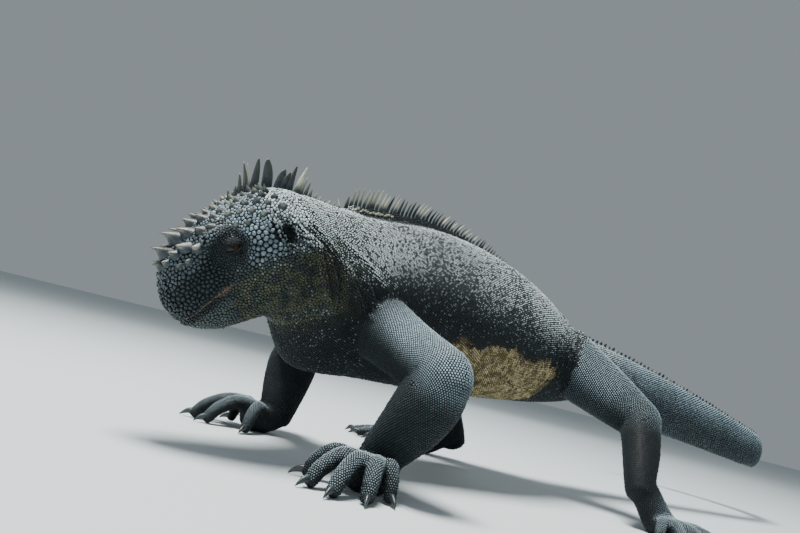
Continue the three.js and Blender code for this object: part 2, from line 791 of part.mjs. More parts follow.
// Fingers and toes, from the inner one outwards: how far each turns from the middle of the
// hand or foot, its length from palm to claw, and its girth.
const fingers = [
  { turn: -56, length: 19, girth: 4.3 },
  { turn: -19, length: 30, girth: 4.7 },
  { turn: 1, length: 34, girth: 4.8 },
  { turn: 20, length: 27, girth: 4.7 },
  { turn: 42, length: 13, girth: 4.2 },
];
const toes = [
  { turn: -44, length: 22, girth: 3.9 },
  { turn: -22, length: 33, girth: 4.2 },
  { turn: -6, length: 44, girth: 4.4 },
  { turn: 9, length: 52, girth: 4.3 },
  { turn: 38, length: 31, girth: 3.9 },
];

// Height of the middle of a toe's end against its girth there. It is under 1, so that the floor
// flattens the pad, and smaller for the fingers, which come down steeply.
const padRise = { fore: 0.54, hind: 0.82 };

function palmLayout(limb) {
  const knuckleReach = limb.kind === 'fore' ? 17 : 8;
  const base = limb.kind === 'fore' ? limb.end : limb.ball;
  const centre = base.clone().setZ(0);
  return { centre, knuckleReach };
}

function digitLine(limb, digit) {
  const { centre, knuckleReach } = palmLayout(limb);
  const rootWay = flat(limb.heading + limb.side * digit.turn * 0.75);
  const way = flat(limb.heading + limb.side * digit.turn);
  const high = limb.kind === 'fore' ? 10 : 7.5;
  const arch = limb.kind === 'fore' ? 15.5 : 9;
  const root = centre.clone().addScaledVector(rootWay, knuckleReach * 0.55).setZ(high);
  const knuckle = centre.clone().addScaledVector(rootWay, knuckleReach).setZ(arch * 0.9);
  const point = (share, z) => knuckle.clone().addScaledVector(way, digit.length * share).setZ(z);
  const rest = digit.girth * digitEndShare * padRise[limb.kind];
  const points = [root, knuckle, point(0.42, arch), point(0.8, arch * 0.62), point(1, rest)];
  return { way, points };
}

function digitSolid(limb, digit) {
  const { points } = digitLine(limb, digit);
  const shares = [1.1, 1.08, 1, 0.92, digitEndShare];
  const stations = points.map((point, index) => {
    const girth = digit.girth * shares[index];
    return station(point.toArray(), girth, girth, girth);
  });
  return loft(stations, { up: upward }, { sides: digitSides, steps: 1 });
}

function clawSolid(limb, digit, grow = 0) {
  const { way, points } = digitLine(limb, digit);
  const before = points[3];
  const end = points[4];
  const along = end.clone().sub(before).normalize();
  const start = end.clone().addScaledVector(along, -clawSink);
  const middle = start.clone()
    .addScaledVector(along, clawLength * 0.3)
    .addScaledVector(way, clawLength * 0.18);
  middle.z = Math.max(middle.z, 3.2) + 0.6;
  const late = start.clone().addScaledVector(way, clawLength * 0.72).setZ(2.5);
  const tip = start.clone().addScaledVector(way, clawLength * 0.95).setZ(0.9);
  const stations = [
    station(start.toArray(), 1.9, 2.3, 2.1),
    station(middle.toArray(), 1.6, 2.0, 1.8),
    station(late.toArray(), 0.95, 1.2, 1.1),
    station(tip.toArray(), 0.3, 0.35, 0.35),
  ];
  return loft(stations, { up: upward }, { sides: clawSides, steps: 1, startCap: grow, grow });
}

function palmSolid(limb) {
  const forward = flat(limb.heading);
  if (limb.kind === 'fore') {
    const wrist = limb.end;
    const at = (reach, z) => wrist.clone().addScaledVector(forward, reach).setZ(z).toArray();
    const into = limb.end.clone().lerp(limb.bend, 0.12).toArray();
    return loft([
      station(into, 10.6, 10.4, 10.4),
      station(limb.end.clone().add(vector(0, 0, -2)).toArray(), 10.8, 9.6, 10),
      station(at(8, 11.5), 13, 7.6, 13, 2.2),
      station(at(18, 9.2), 12.5, 6.6, 10.4, 2.2),
    ], { up: upward }, { sides: palmSides, steps: 1, startCap: 2, endCap: 5 });
  }
  const ankle = limb.end;
  const into = ankle.clone().lerp(limb.bend, 0.12).toArray();
  const heel = ankle.clone().lerp(limb.ball, 0.4).toArray();
  const at = (reach, z) => limb.ball.clone().addScaledVector(forward, reach).setZ(z).toArray();
  return loft([
    station(into, 9.6, 9.6, 9.6),
    station(ankle.toArray(), 9.8, 9.4, 9.4),
    station(heel, 10.6, 8.6, 9),
    station(at(0, 8), 12, 7.2, 9.4, 2.2),
    station(at(9, 7), 11.4, 6, 8.2, 2.2),
  ], { up: vector(0, 0, 1).addScaledVector(forward, 0.6).normalize() },
  { sides: palmSides, steps: 1, startCap: 2, endCap: 5 });
}

function extremity(limb) {
  const digits = limb.kind === 'fore' ? fingers : toes;
  const whole = joined([palmSolid(limb), ...digits.map((digit) => digitSolid(limb, digit))]);
  const sockets = joined(digits.map((digit) => clawSolid(limb, digit, touchGap)));
  return keptBeyond(whole.subtract(sockets), vector(0, 0, floorHeight), upward);
}

// Naming, colour and placing.

const materials = {
  hide: new THREE.MeshStandardMaterial({ color: 0x39454a, roughness: 0.72, metalness: 0 }),
  hideDark: new THREE.MeshStandardMaterial({ color: 0x272f33, roughness: 0.75, metalness: 0 }),
  claw: new THREE.MeshStandardMaterial({ color: 0x191a1b, roughness: 0.4, metalness: 0 }),
  eye: new THREE.MeshStandardMaterial({ color: 0x1b120c, roughness: 0.08, metalness: 0 }),
};

const iguana = new THREE.Group();

function addPart(name, solid, material, pivot) {
  const mesh = new THREE.Mesh(geometryFrom(largestBody(solid), pivot), material);
  mesh.name = name;
  mesh.position.copy(pivot);
  iguana.add(mesh);
}

const halfGap = touchGap / 2;
const plainBody = trunkSolid();
const grownBody = trunkSolid(touchGap);
const headLoft = loft(headStations, headReference, {
  sides: headSides, steps: 1, startCap: 8, endCap: 1.2,
});
const headAndBody = joined([plainBody, headLoft]);

function acrossX(solid, fromX, toX) {
  let piece = solid;
  if (fromX !== null) piece = keptBeyond(piece, vector(fromX + halfGap, 0, 0), vector(1, 0, 0));
  if (toX !== null) piece = keptBeyond(piece, vector(toX - halfGap, 0, 0), vector(-1, 0, 0));
  return piece;
}

function addHead() {
  const sides = [1, -1];
  const core = acrossX(headAndBody, null, headNeckCutX);
  const lips = sides.flatMap((side) => [lip(side, 1.4), lip(side, -1.5)]);
  const withLips = joined([core, ...lips]);
  const jaw = withLips.intersect(jawSpace(-mouthGap / 2));
  addPart('jaw', jaw, materials.hideDark, headPoint(33, 0, -13));

  const spinesOnHead = nuchalSpines.filter(({ x, wide }) => x + wide / 2 + touchGap < headNeckCutX);
  let head = withLips.subtract(jawSpace(mouthGap / 2));
  head = joined([
    head,
    ...sides.map(browRidge),
    ...sides.map((side) => eyeSphere(side, touchGap + lidThickness)),
    ...sides.map(earFold),
    ...snoutCones(),
    ...crownCones(),
    ...templeCones(),
    ...spinesOnHead.map(nuchalSpine),
  ]);
  head = head.subtract(joined([
    ...sides.map((side) => eyeSphere(side, touchGap)),
    ...sides.map(eyeOpening),
    ...sides.map(earCup),
    ...sides.map(nostril),
    jawSpace(mouthGap / 2),
  ]));
  head = acrossX(head, null, headNeckCutX);
  addPart('head', head, materials.hide, skullJoint);
  addPart('eye_left', eyeSphere(1), materials.eye, eyeCentre(1));
  addPart('eye_right', eyeSphere(-1), materials.eye, eyeCentre(-1));
}

function addNeckAndTorso() {
  const spinesOnNeck = nuchalSpines.filter(({ x, wide }) => x - wide / 2 - touchGap > headNeckCutX);
  const neckCore = acrossX(headAndBody, headNeckCutX, neckTorsoCutX);
  const neck = joined([neckCore, ...spinesOnNeck.map(nuchalSpine)]);
  addPart('neck', acrossX(neck, headNeckCutX, neckTorsoCutX), materials.hide, vector(-40, -8, 98));

  const torso = joined([acrossX(plainBody, neckTorsoCutX, torsoTailCutX), ...dorsalSpines()]);
  addPart('torso', acrossX(torso, neckTorsoCutX, torsoTailCutX), materials.hide, vector(100, 5, 97));
}

function tailPlane(place) {
  const centre = stationAt(bodyStations, place);
  const { along } = ringAxes(bodyStations, place, tailWay);
  return { point: vector(centre.x, centre.y, centre.z), along };
}

// The tail in five lengths. Each cut is square to the tail and reaches only its own stretch.
function addTail() {
  const ends = [tailStart, ...tailCutStations, bodyStations.length - 1];
  for (let length = 0; length + 1 < ends.length; length += 1) {
    const from = ends[length];
    const to = ends[length + 1];
    const first = length === 0;
    const final = length + 2 === ends.length;
    const rows = [];
    for (let count = 0; count <= tailRows; count += 1) {
      rows.push(stationAt(bodyStations, from + ((to - from) * count) / tailRows));
    }
    const stretch = loft(rows, tailWay, { sides: tailSides, steps: 1, endCap: final ? 4 : 0 });
    const start = backLine.find((item) => item.place >= from).distance;
    const end = backLine.find((item) => item.place >= to - 0.06).distance;
    let piece = joined([stretch, ...tailSpines(start + 4, end - 3)]);
    const startPlane = tailPlane(from);
    if (first) {
      piece = acrossX(piece, torsoTailCutX, null);
    } else {
      const point = startPlane.point.addScaledVector(startPlane.along, halfGap);
      piece = keptBeyond(piece, point, startPlane.along);
    }
    if (!final) {
      const endPlaneHere = tailPlane(to);
      const point = endPlaneHere.point.addScaledVector(endPlaneHere.along, -halfGap);
      piece = keptBeyond(piece, point, endPlaneHere.along.clone().negate());
    }
    addPart(`tail_${length + 1}`, piece, materials.hide, startPlane.point);
  }
}

const limbNames = {
  fore: ['upper_arm', 'forearm', 'hand'],
  hind: ['thigh', 'shin', 'foot'],
};

function addLimb(key, limb) {
  const sideName = key.split('_')[1];
  const [upperName, lowerName, endName] = limbNames[limb.kind];
  const whole = limbSolid(limb).subtract(grownBody);
  const bend = bendPlane(limb);
  const end = endPlane(limb);
  const back = (direction) => direction.clone().negate();
  const shifted = (plane, distance) => plane.point.clone().addScaledVector(plane.direction, distance);

  const upper = keptBeyond(whole, shifted(bend, -halfGap), back(bend.direction));
  addPart(`${upperName}_${sideName}`, upper, materials.hide, limb.root);

  let lower = keptBeyond(whole, shifted(bend, halfGap), bend.direction);
  lower = keptBeyond(lower, shifted(end, -halfGap), back(end.direction));
  addPart(`${lowerName}_${sideName}`, lower, materials.hide, limb.bend);

  const hand = keptBeyond(extremity(limb), shifted(end, halfGap), end.direction);
  addPart(`${endName}_${sideName}`, hand, materials.hide, limb.end);

  const digits = limb.kind === 'fore' ? fingers : toes;
  const digitName = limb.kind === 'fore' ? 'finger' : 'toe';
  digits.forEach((digit, index) => {
    const claw = clawSolid(limb, digit);
    const root = digitLine(limb, digit).points[4];
    addPart(`claw_${digitName}_${sideName}_${index + 1}`, claw, materials.claw, root);
  });
}

addHead();
addNeckAndTorso();
addTail();
for (const [key, limb] of Object.entries(limbs)) addLimb(key, limb);

// Zero goes to the middle of the animal's box, on the floor.
iguana.updateMatrixWorld(true);
const box = new THREE.Box3().setFromObject(iguana, true);
const middle = box.getCenter(vector(0, 0, 0));
iguana.position.set(-middle.x, -middle.y, 0);
iguana.updateMatrixWorld(true);

export default iguana;
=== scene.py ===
# %% [markdown]
# A marine iguana in the middle of a step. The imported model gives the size, the pose and the
# place of every part. This lesson dresses it: one unbroken skin over the flesh, scales as real
# small solids, the spines of nape, back and tail, lids, eyes and claws.

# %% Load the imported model
import math

import bpy
import numpy as np
from mathutils import Matrix, Vector
from mathutils.bvhtree import BVHTree
from mathutils.kdtree import KDTree


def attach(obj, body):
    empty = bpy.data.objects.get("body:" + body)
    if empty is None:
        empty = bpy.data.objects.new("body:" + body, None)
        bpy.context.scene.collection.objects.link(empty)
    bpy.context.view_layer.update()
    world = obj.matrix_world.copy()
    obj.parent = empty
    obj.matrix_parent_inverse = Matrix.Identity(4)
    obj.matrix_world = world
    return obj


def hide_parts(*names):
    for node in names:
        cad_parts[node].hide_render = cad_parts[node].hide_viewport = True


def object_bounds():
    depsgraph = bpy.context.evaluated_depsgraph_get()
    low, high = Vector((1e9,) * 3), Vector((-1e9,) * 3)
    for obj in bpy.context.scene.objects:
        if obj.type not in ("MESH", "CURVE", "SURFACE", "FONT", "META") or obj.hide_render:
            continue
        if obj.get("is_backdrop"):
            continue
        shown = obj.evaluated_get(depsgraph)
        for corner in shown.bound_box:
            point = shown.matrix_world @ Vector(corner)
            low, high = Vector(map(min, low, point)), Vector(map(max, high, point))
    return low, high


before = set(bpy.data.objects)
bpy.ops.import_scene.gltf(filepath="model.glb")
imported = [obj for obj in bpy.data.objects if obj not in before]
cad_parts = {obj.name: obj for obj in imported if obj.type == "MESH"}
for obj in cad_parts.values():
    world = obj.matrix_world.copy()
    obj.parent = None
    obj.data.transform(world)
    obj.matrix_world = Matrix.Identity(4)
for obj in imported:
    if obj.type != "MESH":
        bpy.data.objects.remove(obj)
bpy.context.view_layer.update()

# %% [markdown]
# The shapes below are worked out in millimetres, from the floor point under the chest. The
# model's own zero is the middle of its footprint, so every finished point is moved by one
# fixed step and then turned into metres.

# %% From working millimetres to the model's metres
FOOTPRINT_STEP = np.array([-217.04, 18.28, 0.0])
METRE = 0.001


def placed(points):
    return (np.asarray(points, float) + FOOTPRINT_STEP) * METRE


def unit(vectors):
    vectors = np.asarray(vectors, float)
    return vectors / np.maximum(np.linalg.norm(vectors, axis=-1, keepdims=True), 1e-9)


def put_in_scene(name, data):
    thing = bpy.data.objects.new(name, data)
    bpy.context.scene.collection.objects.link(thing)
    return thing


print("the floor point under the chest, in metres:", np.round(placed([0, 0, 0]), 4))


# %% [markdown]
# The camera comes first. It stands low in front of the animal on its left, looks slightly up
# and is rolled a little. A focal length as long as the sensor is wide gives the perspective.

# %% The camera
CAMERA_PLACE = (-285.4, -354.5, 63.8)
CAMERA_LOOK = Vector((0.668, 0.7353, 0.1147)).normalized()
CAMERA_UP = Vector((-0.2543, 0.0807, 0.9637))
CAMERA_SENSOR = CAMERA_LENS = 36.0
CAMERA_NEAR = 0.01

camera_data = bpy.data.cameras.new("camera")
camera_data.lens = CAMERA_LENS
camera_data.sensor_width = CAMERA_SENSOR
camera_data.clip_start = CAMERA_NEAR
camera = put_in_scene("camera", camera_data)
camera_right = CAMERA_LOOK.cross(CAMERA_UP).normalized()
camera_top = camera_right.cross(CAMERA_LOOK)
turn = Matrix((camera_right, camera_top, -CAMERA_LOOK)).transposed().to_4x4()
camera.matrix_world = Matrix.Translation(Vector(placed(CAMERA_PLACE))) @ turn
bpy.context.scene.camera = camera
print("camera at", [round(v, 3) for v in camera.location])

# %% [markdown]
# Light as in a studio: a strong soft light from above and a little in front, weak ones from
# the camera's side and from behind, and pale surroundings over a pale floor.

# %% Floor, light and surroundings
FLOOR_HALF = 6.0
FLOOR_COLOUR, FLOOR_ROUGHNESS = (0.62, 0.68, 0.70, 1.0), 0.85
SKY_COLOUR, SKY_STRENGTH = (0.74, 0.83, 0.88, 1.0), 0.34
LIGHTS = [  # name, place, what it points at, size, power, colour
    ("light_above", (-0.42, 0.1, 1.3), (-0.05, 0.0, 0.08), 0.5, 40.0, (1.0, 0.985, 0.95)),
    ("light_front", (-1.1, -0.7, 0.45), (-0.2, 0.0, 0.08), 0.9, 3.2, (0.88, 0.95, 1.0)),
    ("light_behind", (0.9, 0.9, 0.8), (0.1, 0.0, 0.08), 0.8, 3.5, (0.9, 0.96, 1.0)),
]


def soft_light(name, place, target, size, power, colour):
    data = bpy.data.lights.new(name, "AREA")
    data.shape = "DISK"
    data.size = size
    data.energy = power
    data.color = colour
    light = put_in_scene(name, data)
    light.location = place
    light.rotation_mode = "QUATERNION"
    light.rotation_quaternion = (Vector(target) - Vector(place)).to_track_quat("-Z", "Y")


for row in LIGHTS:
    soft_light(*row)

world = bpy.data.worlds.new("studio")
bpy.context.scene.world = world
world.use_nodes = True
sky = world.node_tree.nodes["Background"].inputs
sky["Color"].default_value, sky["Strength"].default_value = SKY_COLOUR, SKY_STRENGTH

floor_mesh = bpy.data.meshes.new("floor")
floor_corners = [(x * FLOOR_HALF, y * FLOOR_HALF, 0) for x, y in ((-1, -1), (1, -1), (1, 1), (-1, 1))]
floor_mesh.from_pydata(floor_corners, [], [(0, 1, 2, 3)])
floor = put_in_scene("floor", floor_mesh)
floor_paint = bpy.data.materials.new("floor_paint")
floor_paint.use_nodes = True
floor_shader = floor_paint.node_tree.nodes["Principled BSDF"]
floor_shader.inputs["Base Color"].default_value = FLOOR_COLOUR
floor_shader.inputs["Roughness"].default_value = FLOOR_ROUGHNESS
floor_mesh.materials.append(floor_paint)
floor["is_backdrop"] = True
print("floor and", len(LIGHTS), "lights")

# %% [markdown]
# A body like this is a row of rings along a path. Each station of the path gives the ring's
# middle, half its width, its reach up and down, and how square it is: 2 is an ellipse. A
# smooth cubic runs through the stations, so a few of them make a long smooth form.

# %% Rings along a path
X, Y, Z, HALF, UP, DOWN, SQUARE = range(7)


def station(at, half, up, down, square=2.0):
    return [*at, half, up, down, square]


def stations_at(stations, place):
    place = np.asarray(place, float)
    last = len(stations) - 1
    index = np.clip(np.floor(place).astype(int), 0, last - 1)
    t = (place - index)[..., None]
    b = stations[index]
    c = stations[index + 1]
    a = np.where((index > 0)[..., None], stations[np.maximum(index - 1, 0)], 2 * b - c)
    d = np.where((index + 2 <= last)[..., None], stations[np.minimum(index + 2, last)], 2 * c - b)
    return b + 0.5 * t * (c - a + t * (2 * a - 5 * b + 4 * c - d + t * (3 * (b - c) + d - a)))


def ring_axes(stations, place, way):
    place = np.asarray(place, float)
    before = stations_at(stations, np.maximum(place - 0.05, 0))[..., :3]
    after = stations_at(stations, np.minimum(place + 0.05, len(stations) - 1))[..., :3]
    along = unit(after - before)
    if "along" in way:
        fixed = (place <= way.get("until", np.inf))[..., None]
        along = np.where(fixed, np.asarray(way["along"], float), along)
    if "up" in way:
        up = np.asarray(way["up"], float)
        up = unit(up - (along @ up)[..., None] * along)
        side = np.cross(along, up)
    else:
        side = np.asarray(way["side"], float)
        side = unit(side - (along @ side)[..., None] * along)
        up = np.cross(side, along)
    return along, up, side


def on_skin(stations, way, place, angle, grow=0.0):
    place, angle = np.broadcast_arrays(np.asarray(place, float), np.asarray(angle, float))
    ring = stations_at(stations, place)
    along, up, side = ring_axes(stations, place, way)
    power = 2.0 / ring[..., SQUARE]
    across = np.sign(np.cos(angle)) * np.abs(np.cos(angle)) ** power
    height = np.sign(np.sin(angle)) * np.abs(np.sin(angle)) ** power
    reach = np.where(height > 0, ring[..., UP], ring[..., DOWN])
    return (ring[..., :3]
            + (across * (ring[..., HALF] + grow))[..., None] * side
            + (height * (reach + grow))[..., None] * up)


print("a station holds", len(station((0, 0, 0), 1, 1, 1)), "numbers")


# %% [markdown]
# Rings become a closed skin when each one is joined to the next and the ends are rounded off.
# The same function serves trunk, tail, limbs, toes and claws.

# %% A closed skin over rings
CAP_STEPS = (0.3, 0.6, 0.85, 0.97)


def ring_quads(rows, sides, closed=False):
    """Quads between neighbouring rings of points, and from the last to the first if closed."""
    row, column = np.meshgrid(np.arange(rows - (not closed)), np.arange(sides), indexing="ij")
    above, following = (row + 1) % rows, (column + 1) % sides
    return np.stack([row * sides + column, row * sides + following,
                     above * sides + following, above * sides + column], -1).reshape(-1, 4)


def fan(tip, ring, sides, turned=False):
    """Triangles from one point to the ring of points that starts at a number."""
    around = ring + np.arange(sides)
    after = ring + (np.arange(sides) + 1) % sides
    pair = (after, around) if turned else (around, after)
    return np.stack([np.full(sides, tip), *pair], -1)


def turns_of(sides):
    return np.arange(sides) * 2 * math.pi / sides


def loft(stations, way, sides=40, steps=6, start_cap=0.0, end_cap=0.0, grow=0.0):
    stations = np.asarray(stations, float)
    last = len(stations) - 1
    rows = [(place, 1.0, 0.0) for place in np.linspace(0, last, last * steps + 1)]
    if start_cap:
        rows = [(0.0, math.sqrt(1 - s * s), -s * (start_cap + grow)) for s in CAP_STEPS[::-1]] + rows
    if end_cap:
        rows += [(float(last), math.sqrt(1 - s * s), s * (end_cap + grow)) for s in CAP_STEPS]
    places, scales, pushes = (np.array(column)[:, None] for column in zip(*rows))
    points = on_skin(stations, way, places, turns_of(sides)[None, :], grow)
    middle = stations_at(stations, places)[..., :3]
    along = ring_axes(stations, places, way)[0]
    points = middle + (points - middle) * scales[..., None] + along * pushes[..., None]
    ends = middle[[0, -1], 0] + along[[0, -1], 0] * (pushes[[0, -1]])
    count = len(rows)
    fans = [fan(count * sides, 0, sides, True), fan(count * sides + 1, (count - 1) * sides, sides)]
    all_points = np.concatenate([points.reshape(-1, 3), ends])
    return all_points, [ring_quads(count, sides), np.concatenate(fans)]


print("two rings of six points:", len(ring_quads(2, 6)), "quads, a cap:", len(fan(0, 1, 6)), "triangles")


# %% [markdown]
# Blender takes a mesh fastest as plain arrays. This helper also stores named values on the
# points, which the materials read, and the small patches of the OFBake map.

# %% From arrays to a Blender piece
def store_values(mesh, values):
    for key, value in values.items():
        layer = mesh.attributes.new(key, "FLOAT", "POINT")
        layer.data.foreach_set("value", np.asarray(value, np.float32))


def make_piece(name, points, faces, values=None, patches=None):
    mesh = bpy.data.meshes.new(name)
    faces = [np.asarray(group, np.int64) for group in faces if len(group)]
    loops = np.concatenate([group.reshape(-1) for group in faces])
    sizes = np.concatenate([np.full(len(group), group.shape[1]) for group in faces])
    starts = np.concatenate([[0], np.cumsum(sizes)[:-1]])
    mesh.vertices.add(len(points))
    mesh.vertices.foreach_set("co", placed(points).astype(np.float32).ravel())
    mesh.loops.add(len(loops))
    mesh.loops.foreach_set("vertex_index", loops.astype(np.int32))
    mesh.polygons.add(len(sizes))
    mesh.polygons.foreach_set("loop_start", starts.astype(np.int32))
    mesh.polygons.foreach_set("use_smooth", np.full(len(sizes), True))
    mesh.update(calc_edges=True)
    store_values(mesh, values or {})
    if patches is not None:
        layer = mesh.uv_layers.new(name="OFBake")
        layer.data.foreach_set("uv", np.asarray(patches, np.float32)[loops].ravel())
    return put_in_scene(name, mesh)


def gathered(parts):
    """Several (points, faces) shapes as one."""
    points = []
    faces = []
    start = 0
    for part_points, part_faces in parts:
        points.append(part_points)
        faces += [group + start for group in part_faces]
        start += len(part_points)
    return np.concatenate(points), faces


print("meshes so far:", len(bpy.data.meshes))


# %% [markdown]
# Trunk and tail are one path from the nape to the tip of the tail. The rings of the trunk
# stand upright across its length, those of the tail square to its path.

# %% Trunk and tail
TAIL_START = 14
BODY = np.array([
    station([-76, -8, 101], 20, 24, 20),
    station([-62, -8.8, 100.5], 27, 32.5, 27),
    station([-49.5, -8.6, 99.5], 30, 36, 30.5),
    station([-41, -7.8, 98], 31, 37.8, 32),
    station([-34, -6.8, 96.8], 33, 39.4, 42, 1.9),
    station([-25, -5.4, 96], 36.6, 40.8, 48.6, 1.95),
    station([-6, -2, 95.2], 40.5, 43.4, 48.4),
    station([18, 1.5, 95.8], 42, 46.8, 47.6),
    station([50, 4.2, 97.8], 46, 50, 49, 2.1),
    station([85, 5.7, 98.6], 51, 50, 49, 2.2),
    station([120, 5, 98.2], 51, 46.2, 46, 2.2),
    station([153, 3.3, 96.5], 45, 40.6, 41.5, 2.1),
    station([184, 1, 93.6], 37, 34, 35.6),
    station([210, 0, 91.8], 30, 27, 30),
    station([236, -0.6, 91], 24.5, 24.6, 24.5),
    station([268, -4.2, 88.6], 19, 24.6, 22.5, 1.95),
    station([306, -10.2, 84.8], 15, 24, 22, 1.9),
    station([348, -16.8, 80], 12.6, 23.2, 21.2, 1.85),
    station([391, -22.9, 75], 11, 21.6, 19.8, 1.85),
    station([434, -29.4, 69.8], 9.8, 19.6, 18, 1.85),
    station([472, -34.4, 65.3], 8.8, 18, 16.4, 1.85),
    station([503, -34.2, 62.3], 8, 16.6, 15, 1.85),
    station([526, -22.4, 61.2], 7.2, 15.2, 13.6, 1.85),
    station([541, 0, 61.2], 6.4, 13.8, 12.2, 1.85),
    station([546, 28, 61.8], 5.6, 12.2, 10.6, 1.85),
    station([543, 58, 62.4], 4.8, 10.4, 8.8, 1.85),
    station([534, 88, 63], 4, 8.2, 6.8, 1.9),
    station([520, 116, 63.6], 3, 5.6, 4.6, 1.95),
    station([504, 140, 64], 1.8, 2.8, 2.4),
])
BODY_WAY = {"up": (0, 0, 1), "along": (1, 0, 0), "until": TAIL_START}
BODY_END = len(BODY) - 1
TORSO_TAIL_X = 236.0
print("body stations:", len(BODY))

# %% [markdown]
# The spines of the back stand on a low fleshy ridge. It starts abruptly behind the shoulders
# and sinks away over the hips.

# %% The ridge of the back
CREST_START_X = -16.0
CREST_END_X = 150.0
RIDGE_HEIGHT = 4.6
RIDGE_HALF = 3.4
RIDGE_ROOT = 3
NECK_END, RIDGE_END = 5.2, 13.8  # places on the path of BODY


def smoothstep(value, low, high):
    t = np.clip((np.asarray(value, float) - low) / (high - low), 0, 1)
    return t * t * (3 - 2 * t)


def plateau(value, low, full, falling, gone):
    """Rises from 0 at low to 1 at full, stays, and is 0 again at gone."""
    return smoothstep(value, low, full) * (1 - smoothstep(value, falling, gone))


def ridge_rise(x):
    start = smoothstep(x, CREST_START_X - 6, CREST_START_X + 6)
    end = 1 - smoothstep(x, CREST_END_X - 60, CREST_END_X + 70)
    return RIDGE_HEIGHT * start * (0.15 + 0.85 * end)


def ridge_shape():
    places = np.linspace(NECK_END, RIDGE_END, 120)
    top = on_skin(BODY, BODY_WAY, places, math.pi / 2)
    stations = [station([x, y, z - RIDGE_ROOT], RIDGE_HALF, RIDGE_ROOT + rise, RIDGE_ROOT, 1.6)
                for (x, y, z), rise in zip(top, ridge_rise(top[:, X]))]
    return loft(stations, {"up": (0, 0, 1), "along": (1, 0, 0)}, sides=20, steps=1,
                start_cap=1.0, end_cap=1.0)


print("points of the ridge:", len(ridge_shape()[0]))


# %% [markdown]
# The head has a frame of its own, turned down at a steep angle: forward from the joint with
# the neck, to the left, and up. Its profile is a short table of heights and widths.

# %% The head's frame and profile
SKULL_JOINT = np.array([-55.9, -9.9, 109.6])
HEAD_FORWARD = unit([-0.786, 0.105, -0.61])
HEAD_UP = np.array([-0.604, 0.081, 0.793])
HEAD_UP = unit(HEAD_UP - (HEAD_UP @ HEAD_FORWARD) * HEAD_FORWARD)
HEAD_LEFT = np.cross(HEAD_UP, HEAD_FORWARD)


def head_point(forward, left, up):
    parts = zip((forward, left, up), (HEAD_FORWARD, HEAD_LEFT, HEAD_UP))
    return SKULL_JOINT + sum(np.asarray(value, float)[..., None] * axis for value, axis in parts)


def in_head(points):
    away = np.asarray(points, float) - SKULL_JOINT
    return away @ HEAD_FORWARD, away @ HEAD_LEFT, away @ HEAD_UP


HEAD_PROFILE = np.array([  # forward, top, bottom, half the width, squareness
    (-22, 10, -26, 20, 2), (-12, 22, -31, 26, 2.1), (-2, 27.5, -34, 28.5, 2.2),
    (8, 29.5, -34.2, 29.5, 2.3), (17, 29.5, -32.4, 29, 2.35), (26, 28.5, -30.6, 26.5, 2.4),
    (34, 27, -29.5, 23, 2.4), (42, 24.5, -28.6, 20, 2.4), (49, 21.5, -27.4, 18, 2.4),
    (55.5, 18.2, -24.4, 16, 2.3), (61, 14.6, -21.2, 13.8, 2.2), (64.4, 9.6, -16.5, 11, 2.1),
    (66.9, 2.8, -12.4, 7.4, 2), (68, -2.2, -8.6, 3.4, 2),
])
HEAD = np.array([
    station(head_point(row[0], 0, (row[1] + row[2]) / 2), row[3],
            (row[1] - row[2]) / 2, (row[1] - row[2]) / 2, row[4])
    for row in HEAD_PROFILE])
HEAD_WAY = {"up": HEAD_UP, "along": HEAD_FORWARD}


def head_place(forward):
    return np.interp(forward, HEAD_PROFILE[:, 0], np.arange(len(HEAD_PROFILE)))


def head_half(forward, up):
    ring = stations_at(HEAD, head_place(forward))
    middle = (ring[..., :3] - SKULL_JOINT) @ HEAD_UP
    height = np.minimum(np.abs(up - middle) / ring[..., UP], 0.999)
    return ring[..., HALF] * (1 - height ** ring[..., SQUARE]) ** (1 / ring[..., SQUARE])


print("head length", round(float(HEAD_PROFILE[-1, 0]), 1), "mm")

# %% [markdown]
# Each leg bends in one plane: a root inside the trunk, an elbow or knee, a wrist or ankle. The
# flesh of the lower leg swells outward from the bone, which gives the arm its strong curve.

# %% Legs
LIMBS = {
    "arm_left": dict(side=1, root=(2, -20, 84), bend=(-2, -95, 62), end=(-6, -68, 19), heading=205),
    "arm_right": dict(side=-1, root=(6, 20, 80), bend=(36, 77, 57), end=(24, 66, 16), heading=158),
    "leg_left": dict(side=1, root=(198, -14, 95), bend=(212, -79, 65), end=(187, -99, 27),
                     ball=(193, -114, 8), heading=250),
    "leg_right": dict(side=-1, root=(198, 14, 95), bend=(160, 72, 66), end=(190, 64, 20),
                      ball=(176, 78, 8), heading=124),
}
ARM_GIRTH = dict(root=20, upper=16.2, bend=16.2, lower=17, end=11.6, bow=3.4)
LEG_GIRTH = dict(root=24, upper=18.8, bend=14.5, lower=12.8, end=9.8, bow=0.8)
for limb in LIMBS.values():
    for key in ("root", "bend", "end", "ball"):
        if key in limb:
            limb[key] = np.array(limb[key], float)


def between(start, end, share):
    return start + (end - start) * share


def is_leg(limb):
    return "ball" in limb


def elbow_place(limb):
    into = between(limb["root"], limb["bend"], 0.86)
    out_of = between(limb["bend"], limb["end"], 0.16)
    return between(between(into, out_of, 0.5), limb["bend"], 0.45)


def bow_way(limb):
    return unit(limb["bend"] - between(limb["root"], limb["end"], 0.5))


def limb_way(limb):
    return {"side": unit(np.cross(limb["bend"] - limb["root"], limb["end"] - limb["bend"]))}


def ring_row(point, size, thin=1.0):
    return station(point, size * thin, size, size)


def upper_rows(limb, girth):
    root, elbow = limb["root"], elbow_place(limb)
    return [ring_row(root, girth["root"]),
            ring_row(between(root, elbow, 0.57), girth["upper"]),
            ring_row(elbow, girth["bend"] * 0.97, 0.97)]


